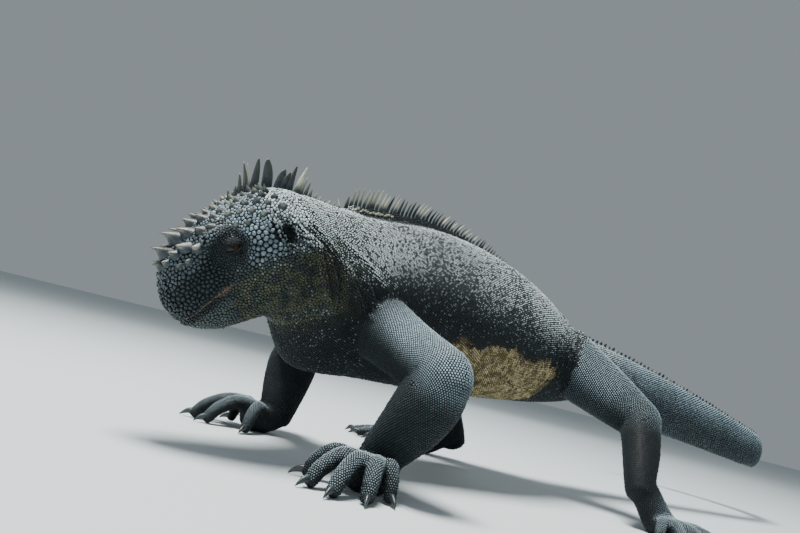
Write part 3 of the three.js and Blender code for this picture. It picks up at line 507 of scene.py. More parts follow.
def lower_rows(limb, girth):
    end, elbow = limb["end"], elbow_place(limb)
    bow = bow_way(limb) * girth["bow"]
    return [ring_row(elbow, girth["bend"] * 0.97, 0.97),
            ring_row(between(elbow, end, 0.3) + bow, girth["lower"], 0.95),
            ring_row(between(elbow, end, 0.62) + bow, girth["lower"] * 0.92, 0.95),
            ring_row(end, girth["end"]),
            ring_row(between(elbow, end, 1.16), girth["end"] * 0.9)]


def girth_of(limb):
    return LEG_GIRTH if is_leg(limb) else ARM_GIRTH


print("legs:", ", ".join(LIMBS))

# %% [markdown]
# Hands and feet: a palm and five digits that arch up from the knuckles and come down on
# their pads. The fourth toe of the hind foot is the longest.

# %% Palms, digits and claws
FINGERS = [(-56, 19, 4.3), (-19, 30, 4.7), (1, 34, 4.8), (20, 27, 4.7), (42, 13, 4.2)]
TOES = [(-44, 22, 3.9), (-22, 33, 4.2), (-6, 44, 4.4), (9, 52, 4.3), (38, 31, 3.9)]
DIGIT_SHARES = (1.1, 1.08, 1.0, 0.92, 0.8)
FORE = dict(pad=0.54, reach=17, high=10, arch=15.5)
HIND = dict(pad=0.82, reach=8, high=7.5, arch=9)
CLAW_LENGTH = 9.0
CLAW_SINK = 1.6


def flat_way(degrees):
    return np.array([math.cos(math.radians(degrees)), math.sin(math.radians(degrees)), 0.0])


def with_height(point, height):
    return np.array([point[0], point[1], height])


def digit_line(limb, turn, length, girth):
    form = HIND if is_leg(limb) else FORE
    centre = with_height(limb["ball"] if is_leg(limb) else limb["end"], 0)
    root_way = flat_way(limb["heading"] + limb["side"] * turn * 0.75)
    way = flat_way(limb["heading"] + limb["side"] * turn)
    knuckle = with_height(centre + root_way * form["reach"], form["arch"] * 0.9)
    rest = girth * DIGIT_SHARES[-1] * form["pad"]
    points = [with_height(centre + root_way * form["reach"] * 0.55, form["high"]), knuckle]
    for share, height in ((0.42, form["arch"]), (0.8, form["arch"] * 0.62), (1.0, rest)):
        points.append(with_height(knuckle + way * length * share, height))
    return way, points


def digit_stations(limb, turn, length, girth):
    points = digit_line(limb, turn, length, girth)[1]
    return np.array([ring_row(point, girth * share) for point, share in zip(points, DIGIT_SHARES)])


def palm_form(limb):
    forward = flat_way(limb["heading"])
    end = limb["end"]
    if not is_leg(limb):
        return np.array([
            station(between(end, limb["bend"], 0.12), 10.6, 10.4, 10.4),
            station(end - [0, 0, 2], 10.8, 9.6, 10),
            station(with_height(end + forward * 8, 11.5), 13, 7.6, 13, 2.2),
            station(with_height(end + forward * 18, 9.2), 12.5, 6.6, 10.4, 2.2),
        ]), {"up": (0, 0, 1)}
    ball_joint = limb["ball"]
    return np.array([
        station(between(end, limb["bend"], 0.12), 9.6, 9.6, 9.6),
        station(end, 9.8, 9.4, 9.4),
        station(between(end, ball_joint, 0.4), 10.6, 8.6, 9),
        station(with_height(ball_joint, 8), 12, 7.2, 9.4, 2.2),
        station(with_height(ball_joint + forward * 9, 7), 11.4, 6, 8.2, 2.2),
    ]), {"up": unit(np.array([0, 0, 1]) + 0.6 * forward)}


def digits_of(limb):
    return TOES if is_leg(limb) else FINGERS


print("digits:", sum(len(digits_of(limb)) for limb in LIMBS.values()))

# %% [markdown]
# The skin is one mesh with no seam at the joints. All forms are put together as overlapping
# closed shapes, a voxel remesh melts them into one surface, and smoothing rounds the creases
# where a leg leaves the trunk. The forms are a little smaller than the model's own solids,
# because the scales stand on them.

# %% Melt all flesh into one surface
SCALE_DEPTH = 0.5
VOXEL = 1.12
EYE_RADIUS = 5.6
EYE_FORWARD, EYE_HEIGHT, EYE_SINK, SOCKET_WALL = 35.4, 10.4, 3.2, 0.8
# Balls that swell brow and ear: (forward, up) on the head, distance from its middle, radii.
BROW = (EYE_FORWARD + 1, 17.6), float(head_half(EYE_FORWARD, 17)) - 1.5, (11, 4.2, 3.2)
EAR_FOLD = (15.2, 8), float(head_half(15, 7.5)) - 1.4, (1.9, 3, 8.2)
SOFTEN_SHARE, SOFTEN_ROUNDS = 0.5, 5
HEAD_AXES = np.array([HEAD_FORWARD, HEAD_LEFT, HEAD_UP])


def eye_centre(side):
    left = side * (head_half(EYE_FORWARD, EYE_HEIGHT) - EYE_SINK)
    return head_point(EYE_FORWARD, left, EYE_HEIGHT)


def ball(centre, axes, radii, sides=24, rows=14):
    theta = np.linspace(0, math.pi, rows + 1)[1:-1][:, None]
    phi = turns_of(sides)[None, :]
    shape = np.stack([np.sin(theta) * np.cos(phi), np.sin(theta) * np.sin(phi),
                      np.cos(theta) * np.ones_like(phi)], -1)
    poles = np.array([[0, 0, 1.0], [0, 0, -1.0]])
    local = np.concatenate([shape.reshape(-1, 3), poles]) * np.asarray(radii, float)
    points = np.asarray(centre, float) + local @ np.array(axes)
    count = rows - 1
    fans = [fan(count * sides, 0, sides), fan(count * sides + 1, (count - 1) * sides, sides, True)]
    return points, [ring_quads(count, sides)[:, [0, 3, 2, 1]], np.concatenate(fans)]


def flesh(stations, way, sides, steps, start_cap, end_cap):
    return loft(stations, way, sides, steps, start_cap, end_cap, grow=-SCALE_DEPTH)


def flesh_shapes():
    shapes = [flesh(BODY, BODY_WAY, 72, 6, 10, 4), flesh(HEAD, HEAD_WAY, 64, 4, 8, 1.2),
              ridge_shape()]
    for side in (1, -1):
        for (forward, up), half, radii in (BROW, EAR_FOLD):
            shapes.append(ball(head_point(forward, side * half, up), HEAD_AXES, radii))
        shapes.append(ball(eye_centre(side), HEAD_AXES, [EYE_RADIUS + SOCKET_WALL] * 3))
    for limb in LIMBS.values():
        girth = girth_of(limb)
        way = limb_way(limb)
        round_end = girth["bend"] * 0.95
        shapes.append(flesh(upper_rows(limb, girth), way, 48, 8, 5, round_end))
        shapes.append(flesh(lower_rows(limb, girth), way, 48, 8, round_end, 4))
        shapes.append(flesh(*palm_form(limb), 32, 6, 2, 5))
        for digit in digits_of(limb):
            shapes.append(flesh(digit_stations(limb, *digit), {"up": (0, 0, 1)}, 20, 6, 2, 1.6))
    return shapes


def remeshed(piece, voxel):
    remesh = piece.modifiers.new("melt", "REMESH")
    remesh.mode = "VOXEL"
    remesh.voxel_size = voxel * METRE
    smooth = piece.modifiers.new("soften", "SMOOTH")
    smooth.factor = SOFTEN_SHARE
    smooth.iterations = SOFTEN_ROUNDS
    depsgraph = bpy.context.evaluated_depsgraph_get()
    mesh = bpy.data.meshes.new_from_object(piece.evaluated_get(depsgraph))
    piece.modifiers.clear()
    return mesh


melt = make_piece("melt", *gathered(flesh_shapes()))
skin_mesh = remeshed(melt, VOXEL)
bpy.data.objects.remove(melt)
print("skin faces:", len(skin_mesh.polygons))

# %% [markdown]
# The melted skin is plain. The living animal has pleats: long soft folds run from the ear and
# the neck down to the shoulder, the ear lies in a hollow, the lips meet in a groove. Each of
# them is a small move of the skin's points along their own normals.

# %% The skin's points and their normals
LOWEST = 0.02


def read_vectors(items, field):
    flat = np.empty(len(items) * 3, np.float32)
    items.foreach_get(field, flat)
    return flat.reshape(-1, 3).astype(float)


def points_of(mesh):
    return read_vectors(mesh.vertices, "co") / METRE - FOOTPRINT_STEP


def normals_of(mesh):
    return read_vectors(mesh.vertex_normals, "vector")


def set_points(mesh, points):
    mesh.vertices.foreach_set("co", placed(points).astype(np.float32).ravel())
    mesh.update()


skin_points = points_of(skin_mesh)
print("skin points:", len(skin_points))

# %% Folds of neck and shoulder
FOLDS = [  # places on the left side of the body, height and half width of the fold
    ([(-83, -32, 116), (-77.5, -33, 111), (-70.5, -34, 106), (-66, -36, 103)], 2.0, 1.3),
    ([(-76, -33, 114), (-69, -34, 110.5), (-59, -38, 110), (-52, -38, 107), (-49, -38.6, 99.7),
      (-43, -38, 92), (-38, -38, 84)], 3.0, 1.4),
    ([(-74, -34, 116.7), (-63.6, -37, 113.4), (-50.4, -38, 108.8), (-45, -38, 104),
      (-40.4, -38.8, 97.6), (-34, -39, 86)], 2.6, 1.3),
    ([(-58.7, -35.6, 118.7), (-43, -37, 110.7), (-29, -40.4, 100.2), (-20, -41.5, 92)], 1.5, 1.6),
    ([(-44, -33.6, 119.4), (-22, -40, 108.6), (-6, -41.3, 99)], 1.0, 1.6),
    ([(-37, -38, 104), (-33.4, -38.5, 100.9), (-24.6, -40, 91.7), (-20, -42, 86),
      (-16, -47, 82)], 2.2, 1.5),
    ([(-24, -40.4, 101), (-16.6, -42.2, 94), (-11.6, -46.7, 88)], 1.6, 1.5),
    ([(-58, -34, 96), (-50, -36, 86), (-42, -36, 76)], 1.2, 1.4),
    ([(162, -40, 97), (164.5, -38, 86), (168, -33, 74)], 1.7, 1.4),
    ([(170, -44, 101), (171, -40, 90), (172, -33, 77)], 1.9, 1.4),
    ([(154, -46, 97), (157, -42, 86), (161, -34, 72)], 1.0, 1.4),
    ([(95, -38, 73), (112, -35, 68.5), (135, -32, 67), (160, -27, 66)], -1.0, 1.1),
]
FOLD_STEPS = 24
FOLD_MARGIN = 12
CREST_GAIN, TROUGH_GAIN, TROUGH_WIDTH = 1.8, 0.95, 2.4


def middle_y(x):
    return np.interp(x, BODY[:TAIL_START + 1, X], BODY[:TAIL_START + 1, Y])


def nearest_on_line(points, line):
    """Distance to a line, and how far along it the nearest place lies, from 0 to 1."""
    distance = np.full(len(points), np.inf)
    share = np.zeros(len(points))
    for number, (start, end) in enumerate(zip(line[:-1], line[1:])):
        step = end - start
        along = np.clip((points - start) @ step / max(step @ step, 1e-9), 0, 1)
        away = np.linalg.norm(points - start - along[:, None] * step, axis=1)
        closer = away < distance
        distance[closer] = away[closer]
        share[closer] = (number + along[closer]) / (len(line) - 1)
    return distance, share


def fold_curves(surface):
    """The line of each fold on both sides, laid on to the surface."""
    curves = []
    for line, height, width in FOLDS:
        line = np.array([station(point, 0, 0, 0) for point in line])
        curve = stations_at(line, np.linspace(0, len(line) - 1, FOLD_STEPS))[:, :3]
        for side in (1, -1):
            sided = curve.copy()
            if side < 0:
                sided[:, Y] = 2 * middle_y(curve[:, X]) - curve[:, Y]
            low, high = sided.min(0) - FOLD_MARGIN, sided.max(0) + FOLD_MARGIN
            near = surface[((surface > low) & (surface < high)).all(axis=1)]
            nearest = [np.argmin(((near - point) ** 2).sum(axis=1)) for point in sided]
            laid = near[nearest]
            laid[1:-1] = (laid[:-2] + 2 * laid[1:-1] + laid[2:]) / 4
            curves.append((laid, height, width))
    return curves


def fold_shapes(points, curves):
    """How far the folds lift each point, and the painted highlight on crest and shade in trough."""
    rise = np.zeros(len(points))
    tone = np.zeros(len(points))
    for curve, height, width in curves:
        low, high = curve.min(0) - 5 * width, curve.max(0) + 5 * width
        near = np.flatnonzero(((points > low) & (points < high)).all(axis=1))
        distance, share = nearest_on_line(points[near], curve)
        fading = np.sqrt(np.sin(math.pi * np.clip(share, 0.02, 0.98)))
        crest = np.exp(-(distance / width) ** 2) * fading
        trough = np.exp(-(distance / (TROUGH_WIDTH * width)) ** 2) * fading
        rise[near] += height * (CREST_GAIN * crest - TROUGH_GAIN * trough)
        # Painted highlight on the fold's crest, painted shade in its trough.
        tone[near] += (0.9 * crest - 0.5 * trough) * min(1, abs(height) / 2) * np.sign(height)
    return rise, tone


fold_rise = fold_shapes(skin_points, fold_curves(skin_points))[0]
skin_points += normals_of(skin_mesh) * fold_rise[:, None]
set_points(skin_mesh, skin_points)
print("folds move the skin by", np.round([fold_rise.min(), fold_rise.max()], 2), "mm")

# %% [markdown]
# On the head the hollow of the ear, the groove of the mouth between two low lips, the nostrils
# and the opening for the eye are pressed in, each in the head's own frame.

# %% Ear, mouth, nostrils and eye sockets
MOUTH_LINE = np.array([(42, -6.8), (48, -9), (55.5, -12), (61, -14.8), (66, -17)])
BROW_LINE = np.array([(40, 15), (47.4, 9.8), (53, 5.4), (59.6, 4.2), (65, 1.6)])
EAR_PLACE = (7.6, 7.6)
EAR_REACH = (5.2, 7.4)
EAR_DEPTH = 4.2
MOUTH_DEPTH, MOUTH_HALF = 1.9, 0.9
LIP_RISE, LIP_AWAY, LIP_HALF = 0.7, 2.1, 1.1
CORNER_RISE, CORNER_FORWARD, CORNER_HALF = 1.3, 44.5, (2.8, 1.8)
BROW_RISE, BROW_HALF = 0.8, 1.1
NOSTRIL_PLACE = (65.2, 6.0, 5.0)
NOSTRIL_RIM, NOSTRIL_RIM_AWAY, NOSTRIL_RIM_HALF = 0.7, 2.6, 0.8
NOSTRIL_DEPTH, NOSTRIL_HALF = 2.2, 1.5
LID_OPENING, LID_MARGIN = (4.0, 1.35), 0.9
SOCKET_DEPTH, SOCKET_REACH = 1.4, 5


def bell(value, middle, half):
    return np.exp(-((np.asarray(value, float) - middle) / half) ** 2)


def mouth_height(forward):
    return np.interp(forward, MOUTH_LINE[:, 0], MOUTH_LINE[:, 1])


def brow_height(forward):
    return np.interp(forward, BROW_LINE[:, 0], BROW_LINE[:, 1])


def head_relief(points, normals):
    forward, left, up = in_head(points)
    near = (np.abs(left) < 40) & (forward > -20) & (forward < 75) & (np.abs(up) < 45)
    mouth = smoothstep(forward, 40, 44) * near
    away = up - mouth_height(forward)
    move = mouth * (-MOUTH_DEPTH * bell(away, 0, MOUTH_HALF)
                    + LIP_RISE * bell(np.abs(away), LIP_AWAY, LIP_HALF))
    corner = ((forward - CORNER_FORWARD) / CORNER_HALF[0]) ** 2 + (away / CORNER_HALF[1]) ** 2
    move += CORNER_RISE * np.exp(-corner) * near
    along_brow = plateau(forward, 43, 47, 62, 65) * near
    move += BROW_RISE * along_brow * bell(up, brow_height(forward), BROW_HALF)
    ear = ((forward - EAR_PLACE[0]) / EAR_REACH[0]) ** 2 + ((up - EAR_PLACE[1]) / EAR_REACH[1]) ** 2
    move -= near * EAR_DEPTH * np.clip(1 - ear, 0, 1) ** 1.5
    for side in (1, -1):
        place = np.array(NOSTRIL_PLACE) * [1, side, 1]
        distance = np.linalg.norm(np.stack([forward, left, up], -1) - place, axis=1)
        move += (NOSTRIL_RIM * bell(distance, NOSTRIL_RIM_AWAY, NOSTRIL_RIM_HALF)
                 - NOSTRIL_DEPTH * bell(distance, 0, NOSTRIL_HALF))
    return points + normals * move[:, None]


def open_eyes(points):
    for side in (1, -1):
        away = points - eye_centre(side)
        forward, left, up = (away @ axis for axis in HEAD_AXES)
        wide, high = np.array(LID_OPENING) + LID_MARGIN
        inside = (forward / wide) ** 2 + (up / high) ** 2 < 1
        inside &= (left * side > 0) & (np.linalg.norm(away, axis=1) < EYE_RADIUS + SOCKET_REACH)
        sunk = unit(away[inside]) * (EYE_RADIUS - SOCKET_DEPTH)
        points[inside] = eye_centre(side) + sunk
    return points


skin_points = head_relief(skin_points, normals_of(skin_mesh))
skin_points = open_eyes(skin_points)
skin_points[:, Z] = np.maximum(skin_points[:, Z], LOWEST)
set_points(skin_mesh, skin_points)
skin_normals = normals_of(skin_mesh)
print("skin box, mm:", np.round(skin_points.min(0), 1), np.round(skin_points.max(0), 1))

# %% [markdown]
# Everything else is rooted on this surface. A search tree answers two questions quickly: where
# does a line from here hit the skin, and which point of the skin is nearest?

# %% A search tree over the skin
face_corners = np.empty(len(skin_mesh.loops), np.int32)
skin_mesh.loops.foreach_get("vertex_index", face_corners)
face_corners = face_corners.reshape(-1, 4)
skin_tree = BVHTree.FromPolygons(skin_points.tolist(), face_corners.tolist())


def down_to_skin(start, way):
    hit = skin_tree.ray_cast(Vector(start), Vector(way))[0]
    return np.array(hit) if hit is not None else None


quad_normals = skin_normals[face_corners].mean(axis=1)
quad_middles = skin_points[face_corners].mean(axis=1)
print("faces in the tree:", len(face_corners))

# %% [markdown]
# In its creases the hide gets painted shade, and its scales are small there. How much the skin
# bends is measured once for each face, from the way the normals open between opposite corners.

# %% Where the skin bends inward
def bend_of_skin():
    """How fast the normals open over the skin: above zero on a bulge, below zero in a crease."""
    corner_points, corner_normals = skin_points[face_corners], skin_normals[face_corners]
    bend = np.zeros(len(face_corners))
    for first, second in ((0, 2), (1, 3)):
        step = corner_points[:, second] - corner_points[:, first]
        opening = corner_normals[:, second] - corner_normals[:, first]
        bend += (opening * step).sum(1) / np.maximum((step ** 2).sum(1), 1e-6) / 2
    times = np.maximum(np.bincount(face_corners.ravel(), minlength=len(skin_points)), 1)
    for _ in range(3):
        at_points = np.bincount(face_corners.ravel(), np.repeat(bend, 4), len(skin_points)) / times
        bend = at_points[face_corners].mean(axis=1)
    return bend


skin_bend = bend_of_skin()
print("bend per mm from", round(float(skin_bend.min()), 2), "to", round(float(skin_bend.max()), 2))

# %% [markdown]
# The spines of an iguana's back are tall scales: leaf-like blades of horn with a lens-shaped
# section. They keep their width for most of their height, curve back and end in a blunt point.
# One function makes them all, from a length along the back to a few millimetres on the tail.

# %% A blade of horn
BLADE_SIDES = 10
BLADE_LEVELS = np.array([0.0, 0.12, 0.28, 0.46, 0.64, 0.8, 0.92, 1.0])
SPINE_SINK = 2.0


def spike(rings, tip, foot, levels, edge):
    """A closed spike over rings. rise and edge tell the material how high and how sharp."""
    rows, sides = rings.shape[:2]
    points = np.concatenate([rings.reshape(-1, 3), [tip, foot]])
    fans = [fan(rows * sides, (rows - 1) * sides, sides), fan(rows * sides + 1, 0, sides, True)]
    rise = np.concatenate([np.repeat(levels, sides), [1, 0]])
    edge = np.concatenate([np.tile(edge, rows), [1, 0]])
    return points, [ring_quads(rows, sides), np.concatenate(fans)], rise, edge


def blade(root, up, along, tall, wide, thick, lean, taper=2.4, blunt=0.12):
    """taper: how late the blade narrows. blunt: the share of its width that stays at the tip."""
    up, along = unit(up), unit(along)
    across = np.cross(up, along)
    share = BLADE_LEVELS
    width = wide / 2 * ((1 - share ** taper) ** 0.8 * (1 - blunt) + blunt * (1 - share ** 8))
    depth = thick / 2 * (1 - 0.75 * share) * (1 - share ** 6)
    height = np.where(share > 0, share * tall, -SPINE_SINK)
    shift = lean * share ** 1.7
    turns = turns_of(BLADE_SIDES)
    ring = (np.cos(turns)[None, :, None] * width[:, None, None] * along
            + (np.sin(turns) * (0.55 + 0.45 * np.abs(np.sin(turns))))[None, :, None]
            * depth[:, None, None] * across)
    middle = root + height[:, None] * up + shift[:, None] * along
    rings = (middle[:, None, :] + ring)[:-1]
    return spike(rings, middle[-1], middle[0], share[:-1], np.abs(np.cos(turns)) ** 4)


print("a blade has", 2 * BLADE_SIDES * (len(BLADE_LEVELS) - 1), "triangles")


def horn_piece(name, make, items):
    """Many blades or horns as one piece. Each item holds what make() takes, and how pale it is."""
    shapes = []
    values = {"rise": [], "edge": [], "cream": []}
    for item in items:
        sizes = dict(item)
        cream = sizes.pop("cream")
        points, faces, rise, edge = make(**sizes)
        shapes.append((points, faces))
        for key, found in zip(values, (rise, edge, np.full(len(points), cream))):
            values[key].append(found)
    values = {key: np.concatenate(parts) for key, parts in values.items()}
    return make_piece(name, *gathered(shapes), values=values)


# %% The tall spines of the nape
NAPE_SPINES = [  # x, height, width, lean, how pale, taper, bluntness
    (-89.8, 5.6, 2.6, -1.8, 0.1, 1.6, 0.1), (-87.4, 6.8, 3, -0.6, 0.1, 1.6, 0.1),
    (-85.3, 11.4, 3, -2.8, 0.1, 2, 0.1), (-82.7, 15.4, 3.2, -5.2, 0.12, 2, 0.1),
    (-81.4, 14.6, 1.8, -4.4, 0.6, 2, 0.1), (-78.8, 17.8, 5, -1.4, 0.06, 2.2, 0.1),
    (-72.3, 15.6, 6.6, -3.2, 0.06, 3.2, 0.4), (-66.3, 11.8, 5.2, 1.8, 0.05, 2.4, 0.6),
    (-64, 11, 4, 3, 0.05, 2.4, 0.4), (-59.7, 16, 5.2, 1.6, 0.05, 1.15, 0.08),
    (-54.8, 16.4, 4.2, 3, 1, 1.2, 0.08), (-52.2, 10.8, 3.4, 2.2, 0.35, 1.3, 0.1),
    (-48.9, 9, 2.6, 1.6, 0.12, 1.5, 0.1), (-45.6, 5.8, 2.4, 0.4, 0.15, 1.5, 0.1),
    (-42.2, 4.8, 2.2, 1.2, 0.25, 1.5, 0.1), (-38.6, 3.6, 2, 0.6, 0.4, 1.5, 0.1),
    (-35, 3.2, 2, 0.6, 0.15, 1.5, 0.1), (-31.4, 3.6, 2, 0.8, 0.5, 1.5, 0.1),
    (-27.4, 3.6, 2, 0.8, 0.2, 1.5, 0.1), (-22.6, 5.4, 1.9, -2.2, 1, 1.4, 0.1),
]
NAPE_THICK = 2.2
HEAD_UNTIL_X = -62
OVER_ALL = 300


def top_of_skin(x, y):
    return down_to_skin((x, y, OVER_ALL), (0, 0, -1))


def top_of_body(x):
    forwards = np.linspace(-14, 40, 217)
    head_top = on_skin(HEAD, HEAD_WAY, head_place(forwards), math.pi / 2)
    if x < HEAD_UNTIL_X:
        return top_of_skin(x, np.interp(-x, -head_top[:, X], head_top[:, Y]))
    return top_of_skin(x, middle_y(x))


nape = [dict(root=top_of_body(x), up=(0, 0, 1), along=(1, 0, 0), tall=tall, wide=wide,
             thick=NAPE_THICK, lean=lean, taper=taper, blunt=blunt, cream=cream)
        for x, tall, wide, lean, cream, taper, blunt in NAPE_SPINES]
spines_nape = horn_piece("spines_nape", blade, nape)
print("nape spines:", len(nape))

# %% [markdown]
# The crest runs from shoulder to hip: tall thin spines in front, lower and more bent ones
# behind. Height, width and lean change a little by chance, so that it looks grown, not made.

# %% The crest of the back
CREST_PITCH = 3.3
CREST_HEIGHT = 12.4
CREST_THICK = 1.1
CREST_SEED, KNOB_SEED = 53, 59
CREST_TONES = [  # from this x on, how pale
    (-20, 0.06), (-15.6, 0.5), (5, 0.75), (10, 0.9), (15.5, 0.08), (20, 0.65), (24, 0.06),
    (41, 0.7), (47, 0.85), (52, 0.08), (66, 0.95), (71, 0.12), (75, 0.9), (80, 0.15), (83, 0.9),
    (87, 0.2), (90, 0.85), (94, 0.12), (97, 0.95), (103, 0.08), (203, 0.9), (207, 0.1),
]


def crest_tone(x, draw):
    tone = [row for row in CREST_TONES if row[0] <= x][-1]
    return float(np.clip(tone[1] + 0.1 * (2 * draw - 1), 0, 1))


def crest_blades():
    draw = np.random.default_rng(CREST_SEED)
    blades = []
    x = CREST_START_X - 1
    while x < TORSO_TAIL_X - 6:
        through = (x - CREST_START_X) / (CREST_END_X - CREST_START_X)
        rise = min(1, 0.72 + through * 3)
        fall = float(np.clip(1.24 - through * 0.98, 0.24, 1))
        tall = CREST_HEIGHT * rise * fall * (0.86 + 0.26 * draw.random())
        root = top_of_skin(x, middle_y(x) + 0.8 * (draw.random() - 0.5))
        curl = 0.06 + 0.5 * float(smoothstep(x, -14, 95)) + 0.12 * (draw.random() - 0.5)
        blades.append(dict(root=root, up=(0.04, 0.08 * (draw.random() - 0.5), 1),
                           along=(1, 0.1 * (draw.random() - 0.5), -0.1), tall=tall,
                           wide=(2.2 + 1.0 * draw.random()) * (0.7 + 0.3 * fall),
                           thick=CREST_THICK, lean=tall * curl, taper=1.5,
                           cream=crest_tone(x, draw.random())))
        x += CREST_PITCH * (0.85 + 0.15 * fall) * (0.88 + 0.24 * draw.random())
    return blades


def crest_feet():
    """Pale knobs in a row at the feet of the front spines."""
    draw = np.random.default_rng(KNOB_SEED)
    knobs = []
    for x in np.arange(CREST_START_X + 2, 20, 2.1):
        for side in (1, -1):
            y = middle_y(x) - side * (1.9 + 0.5 * draw.random())
            root = top_of_skin(x + 0.8 * draw.random(), y)
            knobs.append(dict(root=root, up=(0, -0.5 * side, 1), along=(1, 0, 0),
                              tall=1.3 + 1.1 * draw.random(), wide=1.7 + 0.7 * draw.random(),
                              thick=1.5, lean=0.2, blunt=0.5, cream=0.7 + 0.3 * draw.random()))
    return knobs


crest = crest_blades()
spines_back = horn_piece("spines_back", blade, crest + crest_feet())
print("crest spines:", len(crest))

# %% [markdown]
# On the tail the spines are low teeth at even steps. They follow its curl, so each one takes
# its directions from the path of the tail.

# %% The saw edge of the tail
TAIL_SPINE_PITCH = 5.2
TAIL_SPINE_SEED = 71


def tail_blades():
    draw = np.random.default_rng(TAIL_SPINE_SEED)
    places = np.linspace(TAIL_START, BODY_END - 0.3, 900)
    line = on_skin(BODY, BODY_WAY, places, math.pi / 2)
    along, up, _ = ring_axes(BODY, places, BODY_WAY)
    travelled = np.concatenate([[0], np.cumsum(np.linalg.norm(np.diff(line, axis=0), axis=1))])
    blades = []
    for distance in np.arange(3, travelled[-1], TAIL_SPINE_PITCH):
        index = int(np.searchsorted(travelled, distance))
        left = 1 - distance / travelled[-1]
        root = down_to_skin(line[index] + 20 * up[index], -up[index])
        if root is None:
            continue
        tall = (1.2 + 2.7 * left) * (0.85 + 0.3 * draw.random())
        blades.append(dict(root=root, up=up[index], along=along[index], tall=tall,
                           wide=4.2 * (0.6 + 0.4 * left), thick=1.5 + 0.7 * left, lean=tall * 0.5,
                           cream=float(draw.random() ** 3 * 0.35)))
    return blades


tail_saw = tail_blades()
spines_tail = horn_piece("spines_tail", blade, tail_saw)
print("tail spines:", len(tail_saw))

# %% [markdown]
# Claws are strong and curved, made for holding on. They are lofts like the toes, with a thinner
# end, and each takes the place of the model's plain claw.

# %% Claws
def claw_stations(limb, digit):
    way, points = digit_line(limb, *digit)
    along = unit(points[4] - points[3])
    start = points[4] - along * CLAW_SINK
    middle = start + along * CLAW_LENGTH * 0.3 + way * CLAW_LENGTH * 0.18
    middle[2] = max(middle[2], 3.2) + 0.6
    late = with_height(start + way * CLAW_LENGTH * 0.72, 2.5)
    tip = with_height(start + way * CLAW_LENGTH * 0.97, 0.8)
    return np.array([station(start, 1.9, 2.3, 2.1), station(middle, 1.55, 2.0, 1.7),
                     station(late, 0.85, 1.15, 1.0), station(tip, 0.22, 0.3, 0.28)])


def make_claw(name, limb, digit):
    points, faces = loft(claw_stations(limb, digit), {"up": (0, 0, 1)}, 16, 8, 0, 0.3)
    points[:, Z] = np.maximum(points[:, Z], 0.05)
    rise = np.linalg.norm(points - points[0], axis=1)
    return make_piece(name, points, faces, values={"rise": rise / rise.max(), "edge": 0 * rise})


claws = []
for name, limb in LIMBS.items():
    kind = "toe" if is_leg(limb) else "finger"
    side_name = "left" if limb["side"] > 0 else "right"
    for number, digit in enumerate(digits_of(limb), 1):
        node = f"claw_{kind}_{side_name}_{number}"
        claw = make_claw(f"{node}_horn", limb, digit)
        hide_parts(node)
        claws.append(claw)
print("claws:", len(claws))

# %% [markdown]
# The eye is a wet ball. Its iris and pupil are told apart by a value stored on each point, the
# angle from the middle of the gaze. The lids are thick rings of skin that follow the ball.

# %% Eyes
GAZE = {"forward": 0.3, "up": 0.12}
CORNEA_RISE, CORNEA_EDGE = 0.05, 34  # a share of the radius, degrees


def make_eye(name, side):
    centre = eye_centre(side)
    gaze = unit(HEAD_LEFT * side + GAZE["forward"] * HEAD_FORWARD + GAZE["up"] * HEAD_UP)
    across = unit(np.cross(gaze, HEAD_UP))
    axes = np.array([across, np.cross(gaze, across), gaze])
    points, faces = ball(centre, axes, [EYE_RADIUS] * 3, 48, 36)
    angle = np.degrees(np.arccos(np.clip(unit(points - centre) @ gaze, -1, 1)))
    cornea = 1 + CORNEA_RISE * np.clip(1 - angle / CORNEA_EDGE, 0, 1)
    points = centre + (points - centre) * cornea[:, None]
    return make_piece(name, points, faces, values={"gaze": angle / 90})


eyes = [make_eye("eyeball_left", 1), make_eye("eyeball_right", -1)]
print("eyes:", len(eyes), "of", 2 * EYE_RADIUS, "mm")

# %% [markdown]
# A lid is a ring of thick skin round the opening. Its section is a short row of points, from
# the edge that touches the ball over small wrinkles to the rim.

# %% Lids
LID_STEPS = 72
LID_SECTION = [  # from the opening's edge outwards: share of the way to the rim, height over the ball
    (0.00, 0.12), (-0.02, 0.45), (0.03, 0.8), (0.12, 1.0), (0.2, 0.8), (0.3, 1.1), (0.4, 0.85),
    (0.52, 1.15), (0.64, 0.9), (0.78, 0.95), (0.9, 0.6), (1.0, -0.5), (0.5, -0.3),
]
LID_RIM = (6.5, 5.3)
LID_FLATNESS = 3.4
UPPER_LID_DROP = 0.35


def make_lids(name, side):
    turns = turns_of(LID_STEPS)
    edge_up = np.where(np.sin(turns) > 0, LID_OPENING[1] - UPPER_LID_DROP, LID_OPENING[1])
    edge = np.stack([LID_OPENING[0] * np.cos(turns), edge_up * np.sin(turns)], -1)
    rim = np.stack([LID_RIM[0] * np.cos(turns), LID_RIM[1] * np.sin(turns)], -1)
    centre = eye_centre(side)
    bow = EYE_RADIUS + LID_FLATNESS
    rings = []
    for share, height in LID_SECTION:
        flat = edge + (rim - edge) * share
        reach = np.minimum(np.linalg.norm(flat, axis=1) / bow, 0.98)
        out = np.sqrt(1 - reach ** 2) * bow - LID_FLATNESS
        shape = np.stack([flat[:, 0], out * side, flat[:, 1]], -1)
        local = unit(shape) * (EYE_RADIUS * 1.02 + height)
        rings.append(centre + local @ HEAD_AXES)
    points = np.stack(rings).reshape(-1, 3)
    quads = ring_quads(len(LID_SECTION), LID_STEPS, True)[:, [0, 3, 2, 1]]
    if side < 0:
        quads = quads[:, ::-1]
    edge_share = np.repeat([share for share, _ in LID_SECTION], LID_STEPS)
    return make_piece(name, points, [quads], values={"margin": np.clip(edge_share, 0, 1)})


lids = [make_lids("lids_left", 1), make_lids("lids_right", -1)]
print("lids:", len(lids))
